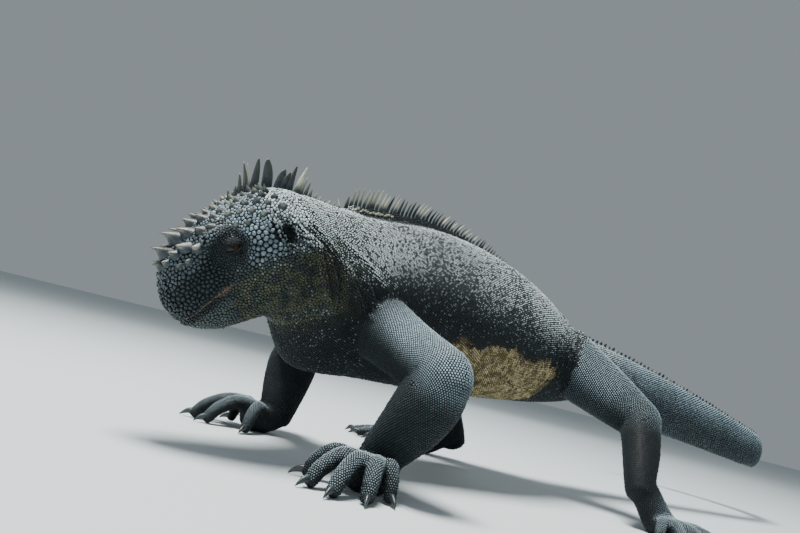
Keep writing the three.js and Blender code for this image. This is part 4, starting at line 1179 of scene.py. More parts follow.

# %% [markdown]
# Horns stand on snout and crown: conical scales, tallest over the nostrils, that lean forward.
# They are placed on the left half as the head shows them, and mirrored with small
# differences, since no two sides of an animal are quite alike.

# %% The shape of a horn
HORN_SIDES = 12
HORN_LEVELS = np.array([0.0, 0.08, 0.2, 0.36, 0.54, 0.72, 0.88])
HORN_SINK = 1.0
HORN_FLARE = 0.35
HORN_LENGTH = 1.25
RIDGE_SHARE = 0.2


def horn(root, out, hook_way, radius, tall, hook, ridges=3):
    """A ridged cone with a flared foot. hook: how far the tip leans, as a share of the height."""
    side = unit(np.cross(out, hook_way))
    front = np.cross(side, out)
    turns = turns_of(HORN_SIDES)
    ridge = np.cos(ridges * turns / 2) ** 2
    rings = []
    for share in HORN_LEVELS:
        reach = radius * (HORN_FLARE * (1 - share) ** 1.7 + (1 - HORN_FLARE) * (1 - share))
        rise = share * tall if share else -HORN_SINK
        middle = root + out * rise + hook_way * hook * tall * share ** 1.5
        ring = side * np.cos(turns)[:, None] + front * (HORN_LENGTH * np.sin(turns))[:, None]
        rings.append(middle + ring * ((0.86 + RIDGE_SHARE * ridge) * reach)[:, None])
    tip = root + out * tall + hook_way * hook * tall
    return spike(np.array(rings), tip, root - out * HORN_SINK, HORN_LEVELS, ridge ** 3)


print("a horn has", HORN_SIDES * (2 * len(HORN_LEVELS)), "triangles")

# %% Where the horns stand
SNOUT_HORNS = [  # forward, left, height, radius, how far the tip leans forward, how pale
    (50.6, 0, 7, 5.2, 0.85, 0.5), (58.2, 0, 6, 4.6, 0.75, 0.3), (63, 0, 3.4, 3, 0.6, 0.4),
    (65, 0.5, 1.8, 2, 0.5, 0.3), (46.6, 5, 5.6, 4, 0.8, 0.6), (41.4, 0, 5.2, 3.8, 0.75, 0.5),
    (37.4, 4.4, 4.4, 3.3, 0.7, 0.45), (52, 9.6, 4, 4, 1, 0.7), (57, 7.2, 3.4, 3.2, 0.8, 0.3),
    (48, 13.4, 2.6, 3.6, 1.1, 0.9), (61.4, 5.2, 2.6, 2.6, 0.7, 0.35), (42.4, 9.8, 3.4, 3, 0.8, 0.45),
    (38, 12.6, 2.8, 2.6, 0.7, 0.35), (54.4, 13, 1.8, 2.6, 0.8, 0.3), (33.2, 0, 3.4, 2.8, 0.5, 0.5),
    (42.8, 16.2, 1.8, 2.4, 0.8, 0.35), (33.8, 8.8, 2.8, 2.4, 0.5, 0.35), (58.4, 11, 1.6, 2.2, 0.7, 0.3),
]
CROWN_FIRST, CROWN_LAST = 5.0, 30.0
CROWN_SPACE, CROWN_ROW_SPACE = 5.6, 4.9
CROWN_EDGE = 25.0
OVER_HEAD = 60
HORN_SEED = 11


def head_root(forward, left):
    """The skin's point at this place of the head, looked for from above, and its normal."""
    start = head_point(forward, left, OVER_HEAD)
    place, _, face, _ = skin_tree.ray_cast(Vector(start), Vector(-HEAD_UP))
    if face is None:
        return None, None
    return np.array(place), unit(quad_normals[face])


def crown_places(draw):
    """Cones in offset rows over the back of the head, from one temple to the other."""
    places = []
    for row, forward in enumerate(np.arange(CROWN_FIRST, CROWN_LAST, CROWN_ROW_SPACE)):
        for column in range(-5, 6):
            left = (column + 0.5 * (row % 2)) * CROWN_SPACE + 0.9 * (draw.random() - 0.5)
            if abs(left) < CROWN_EDGE:
                places.append((forward + 1.4 * (draw.random() - 0.5), left))
    return places


def horn_places():
    draw = np.random.default_rng(HORN_SEED)
    horns = []
    for forward, left, tall, radius, hook, cream in SNOUT_HORNS:
        for side in (1, -1) if left > 3 else (1,):
            change = 1 if side > 0 else 0.85 + 0.3 * draw.random()
            step = 0 if side > 0 else 1.2 * (draw.random() - 0.5)
            root, out = head_root(forward + step, left * side)
            out = unit(out + 0.4 * HEAD_UP)
            horns.append(dict(root=root, out=out, hook_way=HEAD_FORWARD, radius=radius,
                              tall=tall * change, hook=hook, cream=0.42 * cream))
    for forward, left in crown_places(draw):
        root, out = head_root(forward, left)
        if root is None or out @ HEAD_UP < 0.25:
            continue
        rear = 1 - (forward - CROWN_FIRST) / (CROWN_LAST - CROWN_FIRST)
        tall = (3.4 + 1.4 * draw.random()) * (0.75 + 0.3 * rear)
        horns.append(dict(root=root, out=out, hook_way=HEAD_FORWARD,
                          radius=(2.3 + 0.3 * rear) * (0.85 + 0.3 * draw.random()), tall=tall,
                          hook=0.15, cream=0.2 - 0.12 * rear + 0.22 * draw.random(),
                          ridges=4 if draw.random() < 0.5 else 3))
    return horns


horn_items = horn_places()
horns = horn_piece("horns_head", horn, horn_items)
print("horns:", len(horn_items))

# %% [markdown]
# An iguana's hide is thousands of small separate scales. Each is rooted at a point of the skin.
# On trunk, tail and legs they stand in neat rows like roof tiles: the rows run round the body
# and the columns keep a fixed distance from the line of the back. Random points on the skin
# fill what the rows leave open.

# %% Hexagonal rows round a form
RING_STEPS = 256
ROW_SHARE = math.sqrt(3) / 2


def scale_rows(stations, way, start, end, pitch):
    stations = np.asarray(stations, float)
    places = np.linspace(start, end, int(40 * (end - start)) + 2)
    angles = math.pi / 2 + np.linspace(-math.pi, math.pi, RING_STEPS + 1)
    grid = on_skin(stations, way, places[:, None], angles[None, :])
    steps = np.linalg.norm(np.diff(grid, axis=0), axis=2).max(axis=1)
    travelled = np.concatenate([[0], np.cumsum(steps)])
    rows = np.interp(np.arange(0, travelled[-1], pitch * ROW_SHARE), travelled, places)
    rings = on_skin(stations, way, rows[:, None], angles[None, :])
    arcs = np.cumsum(np.linalg.norm(np.diff(rings, axis=1), axis=2), axis=1)
    arcs = np.concatenate([np.zeros((len(rows), 1)), arcs], 1)
    arcs -= arcs[:, RING_STEPS // 2][:, None]
    found = []
    for number, (place, arc) in enumerate(zip(rows, arcs)):
        shift = pitch * 0.5 * (number % 2)
        columns = np.arange(math.ceil((arc[0] - shift) / pitch),
                            math.floor((arc[-1] - shift) / pitch) + 1) * pitch + shift
        found.append(np.stack([np.full(len(columns), place), np.interp(columns, arc, angles)], -1))
    return np.concatenate(found)


print("rows stand", round(ROW_SHARE, 3), "of a scale's width apart")


# %% Roots on the skin
def roots_from(stations, way, spots, reach):
    """For each (place, angle) where a short line out of the form meets the skin, and in which quad."""
    stations = np.asarray(stations, float)
    surface = on_skin(stations, way, spots[:, 0], spots[:, 1])
    out = unit(surface - stations_at(stations, spots[:, 0])[:, :3])
    starts = surface - out * reach
    points, faces, kept = [], [], []
    for number, (start, direction) in enumerate(zip(starts.tolist(), out.tolist())):
        place, _, face, _ = skin_tree.ray_cast(start, direction, 2 * reach)
        if face is not None:
            points.append(tuple(place))
            faces.append(face)
            kept.append(number)
    back = ring_axes(stations, spots[kept, 0], way)[0]
    return np.array(points), np.array(faces), back, np.array(kept)


SEED_KEYS = ("point", "normal", "back", "map", "pitch", "form", "hand", "bend")


class Seeds:
    """Roots of scales, gathered form by form."""

    def __init__(self):
        self.parts = {key: [] for key in SEED_KEYS}

    def add(self, **values):
        count = len(values["point"])
        for key in SEED_KEYS:
            value = np.asarray(values[key], float)
            wide = value.ndim == 2
            self.parts[key].append(value if wide else np.broadcast_to(value, (count,)).copy())

    def all(self):
        return {key: np.concatenate(values) for key, values in self.parts.items()}


FORMS = ["head", "trunk", "tail", *LIMBS]
HEAD_FORM, TRUNK_FORM, TAIL_FORM, FIRST_LIMB = range(4)
seeds = Seeds()
print("forms that carry scales:", ", ".join(FORMS))

# %% [markdown]
# The head's scales have no rows. Big plates cover crown and temple, small ones surround the eye
# and the cheek. Random points are taken one by one, and a point is kept only if no kept point
# is nearer than the size of a scale there.

# %% Sizes of scales over the head
HEAD_PITCHES = {"temple": 2.7, "crown": 1.7, "snout": 2.2, "snout top": 1.9, "lip": 1.4}
PLAIN_PITCH = 1.5
EYE_PITCH = 1.2


def temple_share(forward, up):
    return plateau(forward, 9, 14, 29, 33) * smoothstep(up, -3, 2)


def eye_distance(points):
    return np.minimum(*[np.linalg.norm(points - eye_centre(side), axis=1) for side in (1, -1)])


def head_pitch(points, bend):
    forward, left, up = in_head(points)
    above = up - mouth_height(forward)
    snout = smoothstep(forward, 38, 44)
    shares = {
        "temple": temple_share(forward, up),
        "crown": smoothstep(up, 12, 19) * smoothstep(forward, 2, 8),
        "snout": snout * smoothstep(above, 1.5, 4),
        "snout top": snout * smoothstep(above, 16, 22),
        "lip": snout * (1 - smoothstep(np.abs(above), 1.4, 2.4)),
    }
    size = np.full(len(points), PLAIN_PITCH)
    for key, share in shares.items():
        size += share * (HEAD_PITCHES[key] - size)
    size += (EYE_PITCH - size) * (1 - smoothstep(eye_distance(points), 9.5, 12.5))
    return size * (1 - 0.5 * smoothstep(-bend, 0.05, 0.3))


def picked(rows, *arrays):
    return [array[rows] for array in arrays]


def random_on_skin(count, seed, mask=None):
    """Random points on the skin, and the quads that they lie in."""
    draw = np.random.default_rng(seed)
    corners = skin_points[face_corners]
    diagonals = corners[:, 2] - corners[:, 0], corners[:, 3] - corners[:, 1]
    area = np.linalg.norm(np.cross(*diagonals), axis=1)
    if mask is not None:
        area = area * mask
    chosen = draw.choice(len(area), count, p=area / area.sum())
    a, b = draw.random((2, count, 1))
    quad = corners[chosen]
    points = ((1 - a) * (1 - b) * quad[:, 0] + a * (1 - b) * quad[:, 1]
              + a * b * quad[:, 2] + (1 - a) * b * quad[:, 3])
    return points, chosen


def spread_out(points, pitch):
    """Keeps points that are no nearer to a kept one than their pitch."""
    cell = float(pitch.max())
    grid = {}
    kept = []
    for number, (point, size) in enumerate(zip(points.tolist(), pitch.tolist())):
        key = tuple(int(value // cell) for value in point)
        around = [(key[0] + i, key[1] + j, key[2] + k)
                  for i in (-1, 0, 1) for j in (-1, 0, 1) for k in (-1, 0, 1)]
        clash = False
        for place in around:
            for other, other_size in grid.get(place, ()):
                limit = 0.5 * (size + other_size)
                if ((point[0] - other[0]) ** 2 + (point[1] - other[1]) ** 2
                        + (point[2] - other[2]) ** 2) < limit * limit:
                    clash = True
                    break
            if clash:
                break
        if not clash:
            grid.setdefault(key, []).append((point, size))
            kept.append(number)
    return np.array(kept, int)


print("widths on the head, mm:", HEAD_PITCHES)


# %% Scales of the head
HEAD_BEHIND = -3.0
HEAD_TRIES, HEAD_SEED = 90000, 5
HORN_CLEAR, HEAD_CLOSE = 0.78, 0.86
LIPS_FROM, BARE_LIP = 43.5, 0.75
quad_forward, quad_left, quad_up = in_head(quad_middles)
on_head = (quad_forward > HEAD_BEHIND) & (np.abs(quad_left) < 36) & (quad_up > -40)
head_points, head_quads = random_on_skin(HEAD_TRIES, HEAD_SEED, on_head)
head_sizes = head_pitch(head_points, skin_bend[head_quads])
free = np.full(HEAD_TRIES, True)
for item in horn_items:
    free &= np.linalg.norm(head_points - item["root"], axis=1) > HORN_CLEAR * item["radius"]
tried_forward, _, tried_up = in_head(head_points)
free &= (tried_forward < LIPS_FROM) | (np.abs(tried_up - mouth_height(tried_forward)) > BARE_LIP)
head_points, head_quads, head_sizes = picked(free, head_points, head_quads, head_sizes)
kept = spread_out(head_points, HEAD_CLOSE * head_sizes)
head_points, head_quads, head_sizes = picked(kept, head_points, head_quads, head_sizes)


def head_map(points):
    forward, left, up = in_head(points)
    return np.stack([(forward + 24) / 96, np.arctan2(-left, up) / (2 * math.pi) + 0.5], -1)


seeds.add(point=head_points, normal=unit(quad_normals[head_quads]),
          back=np.tile(-HEAD_FORWARD, (len(kept), 1)), map=head_map(head_points), pitch=head_sizes,
          form=HEAD_FORM, hand=0, bend=skin_bend[head_quads])
print("head scales:", len(kept))

# %% Scales of trunk and tail
TRUNK_PITCH = 1.4
NECK_PITCH = 1.28
TAIL_PITCHES = ((14.0, 17.0, 1.9), (17.0, 21.0, 2.15), (21.0, 27.6, 2.0))
ROW_SEED = 17
draw = np.random.default_rng(ROW_SEED)


def form_map(spots, start, end, low=0.0, high=1.0):
    across = (spots[:, 1] + math.pi / 2) / (2 * math.pi)
    return np.stack([(spots[:, 0] - start) / (end - start) * 0.98 + 0.01,
                     low + (high - low) * (0.01 + 0.98 * across)], -1)


def add_rows(stations, way, start, end, pitch, form, reach=2.5, jitter=0.0, band=(0.0, 1.0),
             whole=None, hand=0):
    spots = scale_rows(stations, way, start, end, pitch)
    points, quads, back, kept = roots_from(stations, way, spots, reach)
    spots = spots[kept]
    if jitter:
        points = points + (draw.random(points.shape) - 0.5) * 2 * jitter * pitch
    first, last = whole or (start, end)
    seeds.add(point=points, normal=unit(quad_normals[quads]), back=back,
              map=form_map(spots, first, last, *band), pitch=pitch, form=form, hand=hand,
              bend=skin_bend[quads])
    return len(points)


neck_count = add_rows(BODY, BODY_WAY, 0.0, NECK_END, NECK_PITCH, TRUNK_FORM, jitter=0.14,
                      whole=(0, TAIL_START))
trunk_count = add_rows(BODY, BODY_WAY, NECK_END, TAIL_START, TRUNK_PITCH, TRUNK_FORM, jitter=0.13,
                       whole=(0, TAIL_START))
tail_count = sum(add_rows(BODY, BODY_WAY, start, end, pitch, TAIL_FORM, jitter=0.03,
                          whole=(TAIL_START, BODY_END))
                 for start, end, pitch in TAIL_PITCHES)
print("neck, trunk and tail scales:", neck_count, trunk_count, tail_count)

# %% Scales of arms, legs, hands and feet
ARM_PITCH = 1.35
LEG_PITCH = 1.5
HAND_PITCH = 1.4
DIGIT_PITCH = 1.4
LIMB_BAND, PALM_BAND = (0.0, 0.45), (0.45, 0.6)  # shares of the OFBake map
DIGIT_BANDS_FROM, DIGIT_BAND = 0.6, 0.08


def whole_limb(limb):
    girth = girth_of(limb)
    root, elbow, end = limb["root"], elbow_place(limb), limb["end"]
    upper = upper_rows(limb, girth)[:2] + [ring_row(between(root, elbow, 0.86), girth["bend"])]
    lower = lower_rows(limb, girth)
    turn_in = ring_row(between(elbow, end, 0.12) + bow_way(limb) * 0.5, girth["bend"])
    return np.array(upper + [turn_in] + lower[1:])


for form, (name, limb) in enumerate(LIMBS.items(), FIRST_LIMB):
    limb_pitch = LEG_PITCH if is_leg(limb) else ARM_PITCH
    count = add_rows(whole_limb(limb), limb_way(limb), 0.3, 6.0, limb_pitch, form, reach=4.5,
                     jitter=0.05, band=LIMB_BAND)
    palm, palm_way = palm_form(limb)
    count += add_rows(palm, palm_way, 0.0, len(palm) - 1, HAND_PITCH, form, reach=3.0,
                      jitter=0.06, band=PALM_BAND, hand=1)
    for number, digit in enumerate(digits_of(limb)):
        low = DIGIT_BANDS_FROM + DIGIT_BAND * number
        count += add_rows(digit_stations(limb, *digit), {"up": (0, 0, 1)}, 0.5, 4.0, DIGIT_PITCH,
                          form, reach=1.5, jitter=0.05, band=(low, low + DIGIT_BAND), hand=1)
    print(name, "scales:", count)

# %% [markdown]
# Forms overlap where they join, so some roots lie on top of each other. Of two roots that are
# too near, the later one goes. Then random points fill the bare places, for example in the
# armpit, and take their direction and their place on the map from the nearest root.

# %% Thin out, then fill
def tree_of(points):
    tree = KDTree(len(points))
    for number, point in enumerate(points.tolist()):
        tree.insert(point, number)
    tree.balance()
    return tree


def neighbours_of(points, tree, count):
    found = np.empty((len(points), count), int)
    for number, point in enumerate(points.tolist()):
        found[number] = [item[1] for item in tree.find_n(point, count)]
    return found


CROWDED, CROWDED_ON_LIMB = 0.33, 0.26  # shares of the two scales' widths together
roots = seeds.all()
near = neighbours_of(roots["point"], tree_of(roots["point"]), 5)[:, 1:]
gap = np.linalg.norm(roots["point"][near] - roots["point"][:, None], axis=2)
on_limb = (roots["form"] >= FIRST_LIMB) & (roots["hand"] == 0)
same_limb = on_limb[:, None] & on_limb[near] & (roots["form"][near] == roots["form"][:, None])
limit = np.where(same_limb, CROWDED_ON_LIMB, CROWDED) * (roots["pitch"][near] + roots["pitch"][:, None])
own = np.arange(len(near))[:, None]
crowded = ((gap < limit) & (near < own)).any(axis=1)
roots = {key: value[~crowded] for key, value in roots.items()}
print("too near:", int(crowded.sum()), "left:", len(roots["point"]))

# %% Fill bare places
FILL_TRIES, FILL_SEED = 340000, 29
BARE_FROM, FILL_CLOSE = 0.68, 0.78  # shares of a scale's width
loose_points, loose_quads = random_on_skin(FILL_TRIES, FILL_SEED)
root_tree = tree_of(roots["point"])
nearest = neighbours_of(loose_points, root_tree, 1)[:, 0]
away = np.linalg.norm(roots["point"][nearest] - loose_points, axis=1)
bare = away > BARE_FROM * roots["pitch"][nearest]
loose_points, loose_quads, nearest = picked(bare, loose_points, loose_quads, nearest)
kept = spread_out(loose_points, FILL_CLOSE * roots["pitch"][nearest])
loose_points, loose_quads, source = picked(kept, loose_points, loose_quads, nearest)
filled = {"point": loose_points, "normal": unit(quad_normals[loose_quads]),
          "bend": skin_bend[loose_quads]}
for key in ("back", "map", "pitch", "form", "hand"):
    filled[key] = roots[key][source]
roots = {key: np.concatenate([roots[key], filled[key]]) for key in SEED_KEYS}
print("filled in:", len(kept), "scales in all:", len(roots["point"]))

# %% [markdown]
# The markings follow the body: pale specks along the back that fade down the flank, a dark band
# under the crest, a sandy patch low on the belly, olive cheeks, cool grey arms, dark shins. Part
# of this is painted light and shade: the fade down flank, tail and limbs is partly painted light
# from above, the dark shins, forearms and eye hollows are partly painted shade, and creases and
# folds get painted shade and highlights. They are worked out from a point's place on the body,
# by one function for skin and scales alike.

# %% Markings
MARK_KEYS = ("pale", "sand", "olive", "cool", "mottle", "rust")


def marks_of(**found):
    """All marks of some points. Those that aren't named are 0."""
    none = np.zeros(len(found["pale"]))
    return {key: found.get(key, 0) + none for key in MARK_KEYS}


def trunk_height(points):
    rows = BODY[:TAIL_START + 1]
    x = points[:, X]
    middle = np.interp(x, rows[:, X], rows[:, Z])
    above = np.interp(x, rows[:, X], rows[:, UP])
    below = np.interp(x, rows[:, X], rows[:, DOWN])
    away = points[:, Z] - middle
    return np.where(away > 0, away / above, away / below)


def throat_share(points):
    """Cheek, throat and the low neck behind them."""
    forward, left, up = in_head(points)
    return (plateau(forward, -30, -8, 34, 46)
            * (1 - smoothstep(up, -11, 0)) * smoothstep(up, -50, -36))


def trunk_marks(points):
    x = points[:, X]
    height = trunk_height(points)
    aside = np.abs(points[:, Y] - middle_y(x))
    front = 1 - smoothstep(x, 10, 110)
    low = -0.3 + 0.36 * front
    # Paler on the back, darker down the flank: partly the animal's pattern, partly painted light from
    # above.
    pale = 0.05 + 0.64 * smoothstep(height, low, low + 0.85 - 0.25 * front)
    neck = (1 - smoothstep(x, -40, 20)) * smoothstep(height, -0.05, 0.3)
    pale = pale + (0.97 - pale) * neck
    ahead = plateau(x, -14, -6, 110, 190)
    pale = pale * (1 - 0.93 * (1 - smoothstep(aside, 8.6, 10.6)) * ahead)
    pale = pale * (1 - 0.3 * smoothstep(x, 150, 190))
    sand = smoothstep(-height, 0.06, 0.5) * smoothstep(x, 40, 72) * (1 - smoothstep(x, 140, 184))
    throat = throat_share(points)
    pale = pale * (1 - 0.6 * throat)
    return marks_of(pale=pale, sand=sand, olive=0.5 * throat, cool=0.45, mottle=1)


def tail_marks(points, normals):
    # Paler where the tail faces up: painted light from above.
    lit_from_above = smoothstep(normals[:, Z], -0.3, 0.9)
    return marks_of(pale=0.16 + 0.6 * lit_from_above, cool=1, mottle=0.3)


def head_marks(points):
    forward, left, up = in_head(points)
    above = up - mouth_height(forward)
    crown = smoothstep(up, 8, 17)
    temple = temple_share(forward, up)
    back = (1 - smoothstep(forward, 0, 12)) * smoothstep(up, -10, 4)
    snout = smoothstep(forward, 34, 42)
    pale = np.clip(0.18 + 0.36 * crown + 0.2 * temple + 0.55 * back, 0, 0.8)
    pale = pale * (1 - 0.2 * temple)
    # On the snout, darker below the brow line: partly painted shade under the brow.
    face = 0.02 + 0.13 * smoothstep(up - brow_height(forward), -1.5, 1.5) + 0.12 * smoothstep(up, 12, 20)
    pale = pale + (face - pale) * snout
    # Darker round the eye: painted shade in the eye hollow.
    eye_hollow_shade = 1 - smoothstep(eye_distance(points), 8, 11.5)
    pale = pale * (1 - 0.85 * eye_hollow_shade)
    throat = throat_share(points)
    chin = smoothstep(forward, 38, 46) * smoothstep(-above, 1.5, 5)
    corner = bell(forward, 44.8, 3.4)
    lips = plateau(forward, 45, 48, 68, 72)
    rust = 0.75 * bell(above, 0.5, 0.6) * lips + 0.9 * bell(above, 0.2, 1.1) * corner
    return marks_of(pale=pale * (1 - 0.6 * throat) + 0.1 * chin, olive=0.55 * throat + 0.3 * chin,
                    cool=0.5 + 0.35 * np.maximum(snout, temple), rust=np.clip(rust, 0, 1),
                    mottle=0.8 - 0.5 * temple - 0.6 * snout)


def limb_marks(points, normals, limb):
    root, bend, end = limb["root"], limb["bend"], limb["end"]
    upper = np.clip((points - root) @ (bend - root) / ((bend - root) @ (bend - root)), 0, 1)
    lower = np.clip((points - bend) @ (end - bend) / ((end - bend) @ (end - bend)), 0, 1)
    hand = smoothstep(np.linalg.norm(points[:, :2] - end[:2], axis=1), 10, 20)
    hand = hand * (1 - smoothstep(points[:, Z], end[2] + 2, end[2] + 14))
    # Paler where a limb faces up and out: painted light.
    lit_from_above = smoothstep(normals[:, Z], -0.5, 0.4)
    outward = smoothstep(normals @ bow_way(limb), -0.5, 0.4)
    if is_leg(limb):
        # Darker toward the shin: partly the leg's own colour, partly painted shade.
        fade = 0.35 * smoothstep(upper, 0.55, 1) + 0.58 * smoothstep(lower, 0, 0.4)
        pale = (0.96 - fade) * (0.3 + 0.7 * lit_from_above)
    else:
        # Darker at the shoulder and on the forearm: partly painted shade.
        pale = (0.1 + 0.9 * smoothstep(upper + 0.2 * lit_from_above, 0.3, 0.8)) * (0.1 + 0.9 * lit_from_above)
        pale = pale * (1 - 0.8 * smoothstep(lower, 0, 0.3)) * (0.3 + 0.7 * outward)
    # Paler on the top of hand and foot: painted light from above.
    pale = pale * (1 - hand) + 0.8 * hand * smoothstep(normals[:, Z], -0.1, 0.8)
    return marks_of(pale=np.clip(pale, 0.03, 1), cool=0.9, mottle=0.2 + 0.2 * lower)


# How strong the painted highlight and shade of the folds are.
FOLD_LIGHT_AND_SHADE = 0.85
RUMP_BLEND = (-25.0, 80.0)
# How strong the painted shade in the creases is.
CREASE_SHADE = 0.75
final_folds = fold_curves(skin_points)


def blended(first, second, share):
    return {key: first[key] + (second[key] - first[key]) * share for key in MARK_KEYS}


def rump_marks(points, normals):
    """Trunk and tail, each with a share of the other near the place where they meet."""
    meet = BODY[TAIL_START, X]
    behind = smoothstep(points[:, X], meet + RUMP_BLEND[0], meet + RUMP_BLEND[1])
    return blended(trunk_marks(points), tail_marks(points, normals), behind)


def markings(points, normals, form, bend):
    marks = {key: np.zeros(len(points)) for key in MARK_KEYS}
    for number, name in enumerate(FORMS):
        chosen = form == number
        here, facing = points[chosen], normals[chosen]
        if name == "head":
            found = head_marks(here)
        elif name in ("trunk", "tail"):
            found = rump_marks(here, facing)
        else:
            found = limb_marks(here, facing, LIMBS[name])
        for key in MARK_KEYS:
            marks[key][chosen] = found[key]
    # Painted shade in the creases of the skin.
    pale = marks["pale"] * (1 - CREASE_SHADE * smoothstep(-bend, 0.03, 0.25))
    # Painted highlight on fold crests, painted shade in fold troughs.
    pale = pale + FOLD_LIGHT_AND_SHADE * fold_shapes(points, final_folds)[1] * (0.3 + pale)
    marks["pale"] = np.clip(pale, 0, 1)
    return marks


root_marks = markings(roots["point"], roots["normal"], roots["form"], roots["bend"])
root_tree = tree_of(roots["point"])
skin_near = neighbours_of(skin_points, root_tree, 5)
skin_marks = {key: root_marks[key][skin_near].mean(axis=1) for key in MARK_KEYS}
skin_forward = in_head(skin_points)[0]
skin_marks["rust"] = np.where(skin_forward > 36, head_marks(skin_points)["rust"], 0)
print("share of pale scales:", round(float((root_marks["pale"] > 0.5).mean()), 2))

# %% [markdown]
# Each scale gets the outline that its neighbours leave it. In a number of directions round the
# root, the half-way line to every neighbour says how far the scale may reach. That turns the
# rows into hexagons, and the head's loose points into plates that fit like paving.

# %% Outlines between neighbours
NEIGHBOURS = 10
SEAM = 0.09
WIDEST = 0.72


def outlines(sides):
    normal = roots["normal"]
    back = unit(roots["back"] - (roots["back"] * normal).sum(1, keepdims=True) * normal)
    across = np.cross(normal, back)
    turns = turns_of(sides)
    ways = (np.cos(turns)[None, :, None] * back[:, None] + np.sin(turns)[None, :, None]
            * across[:, None])
    reach = np.full((len(normal), sides), np.inf)
    for number in range(1, NEIGHBOURS):
        other = neighbours[:, number]
        step = roots["point"][other] - roots["point"]
        step = step - (step * normal).sum(1, keepdims=True) * normal
        share = roots["pitch"] / (roots["pitch"] + roots["pitch"][other])
        facing = np.maximum((ways * step[:, None]).sum(-1), 1e-6)
        reach = np.minimum(reach, (share * (step ** 2).sum(1))[:, None] / facing)
    return ways, np.minimum(reach, WIDEST * roots["pitch"][:, None]), back


neighbours = neighbours_of(roots["point"], root_tree, NEIGHBOURS)
print("neighbours found for", len(neighbours), "roots")

# %% [markdown]
# A scale is a small closed solid: a sunken foot, one or two rings that round it, and a peak
# that leans back. Small beads on the trunk need one ring only, plates on the head have more.

# %% Scales as solids
SCALE_SINK = 0.16
PATCH = 0.0015
PEAK_SEED, PEAK_SHIFT = 41, 0.5


def scale_solids(name, chosen, sides, levels, height, lean, top):
    """levels: shares of outline and height from the foot up. top: the crown value of the peak."""
    ways, reach, back = picked(chosen, *outlines_by_sides[sides])
    point, normal, place = picked(chosen, roots["point"], roots["normal"], roots["map"])
    tall = height[:, None]
    reach = reach - SEAM
    rings = []
    patch_rings = []
    turns = turns_of(sides)
    spread = np.stack([np.cos(turns), np.sin(turns)], -1) * PATCH
    for width, share in levels:
        rise = normal * tall * share if share > 0 else -normal * SCALE_SINK
        push = back * tall * lean * max(share, 0)
        rings.append(point[:, None] + (rise + push)[:, None] + ways * (reach * width)[..., None])
        patch_rings.append(place[:, None] + spread * width)
    apex = point + normal * tall + back * tall * lean + apex_shift[chosen] * tall
    solid = np.concatenate(rings + [apex[:, None]], axis=1)
    patches = np.concatenate(patch_rings + [place[:, None]], axis=1)
    per = solid.shape[1]
    count = len(point)
    base = (np.arange(count) * per)[:, None, None]
    rows = ring_quads(len(levels), sides).reshape(-1, sides, 4)
    cone = fan(per - 1, (len(levels) - 1) * sides, sides)
    faces = [(base + part[None]).reshape(-1, part.shape[1]) for part in (*rows, cone)]
    faces.append((base[:, 0] + np.arange(sides)[::-1][None]).reshape(-1, sides))
    crown = np.concatenate([np.repeat([max(share, 0) for _, share in levels], sides), [top]])
    points = solid.reshape(-1, 3)
    points[:, Z] = np.maximum(points[:, Z], LOWEST)
    values = {key: np.repeat(root_marks[key][chosen], per) for key in MARK_KEYS}
    values["crown"] = np.tile(crown, count)
    values["speck"] = np.repeat(speck[chosen], per)
    return make_piece(name, points, faces, values=values, patches=patches.reshape(-1, 2))


BEAD = [(1.0, -1.0)]
DOME = [(1.0, -1.0), (0.74, 0.54)]
PLATE = [(1.0, -1.0), (0.97, 0.35), (0.8, 0.78)]
outlines_by_sides = {sides: outlines(sides) for sides in (6, 8)}
draw = np.random.default_rng(PEAK_SEED)
speck = draw.random(len(roots["point"]))
apex_shift = PEAK_SHIFT * (draw.random((len(speck), 3)) - 0.5)
print("outlines for", sorted(outlines_by_sides), "sides")

# %% How tall the scales are
TRUNK_RISE, TAIL_RISE, LIMB_RISE = 0.46, 0.32, 0.34  # shares of a scale's width
HEIGHT_SEED, LOWEST_CHANCE, CHANCE_SPAN = 43, 0.65, 0.7
SOLE_HEIGHT, SOLE_SCALE = 2.5, 0.12


def head_heights(points, pitch):
    forward, left, up = in_head(points)
    crown = smoothstep(up, 12, 19)
    return pitch * (0.42 + 0.08 * crown + 0.16 * temple_share(forward, up))


pitch = roots["pitch"]
form = roots["form"].astype(int)
heights = np.select([form == HEAD_FORM, form == TRUNK_FORM, form == TAIL_FORM],
                    [head_heights(roots["point"], pitch), pitch * TRUNK_RISE, pitch * TAIL_RISE],
                    pitch * LIMB_RISE)
chance = np.random.default_rng(HEIGHT_SEED).random(len(heights))
heights = heights * (LOWEST_CHANCE + CHANCE_SPAN * chance)
sole = (roots["normal"][:, Z] < -0.5) & (roots["point"][:, Z] < SOLE_HEIGHT)
heights[sole] = SOLE_SCALE
print("scale heights:", round(float(heights.min()), 2), "to", round(float(heights.max()), 2), "mm")

# %% The coat, piece by piece
COAT_LIMIT = 190000
DOMES_UNTIL_X = 20.0
BEADS_FROM_X = 295.0
coat = []


def add_coat(name, mask, sides, levels, lean, top=1.0):
    """Scales of one kind as pieces of no more than COAT_LIMIT triangles. Returns their number."""
    chosen = np.flatnonzero(mask)
    each = 2 * sides * (len(levels) - 1) + 2 * sides - 2
    parts = max(1, math.ceil(len(chosen) * each / COAT_LIMIT))
    order = chosen[np.argsort(roots["point"][chosen, X], kind="stable")]
    for number, group in enumerate(np.array_split(order, parts), 1):
        label = f"{name}_{number}" if parts > 1 else name
        coat.append(scale_solids(label, group, sides, levels, heights[group], lean, top))
    return len(chosen) * each


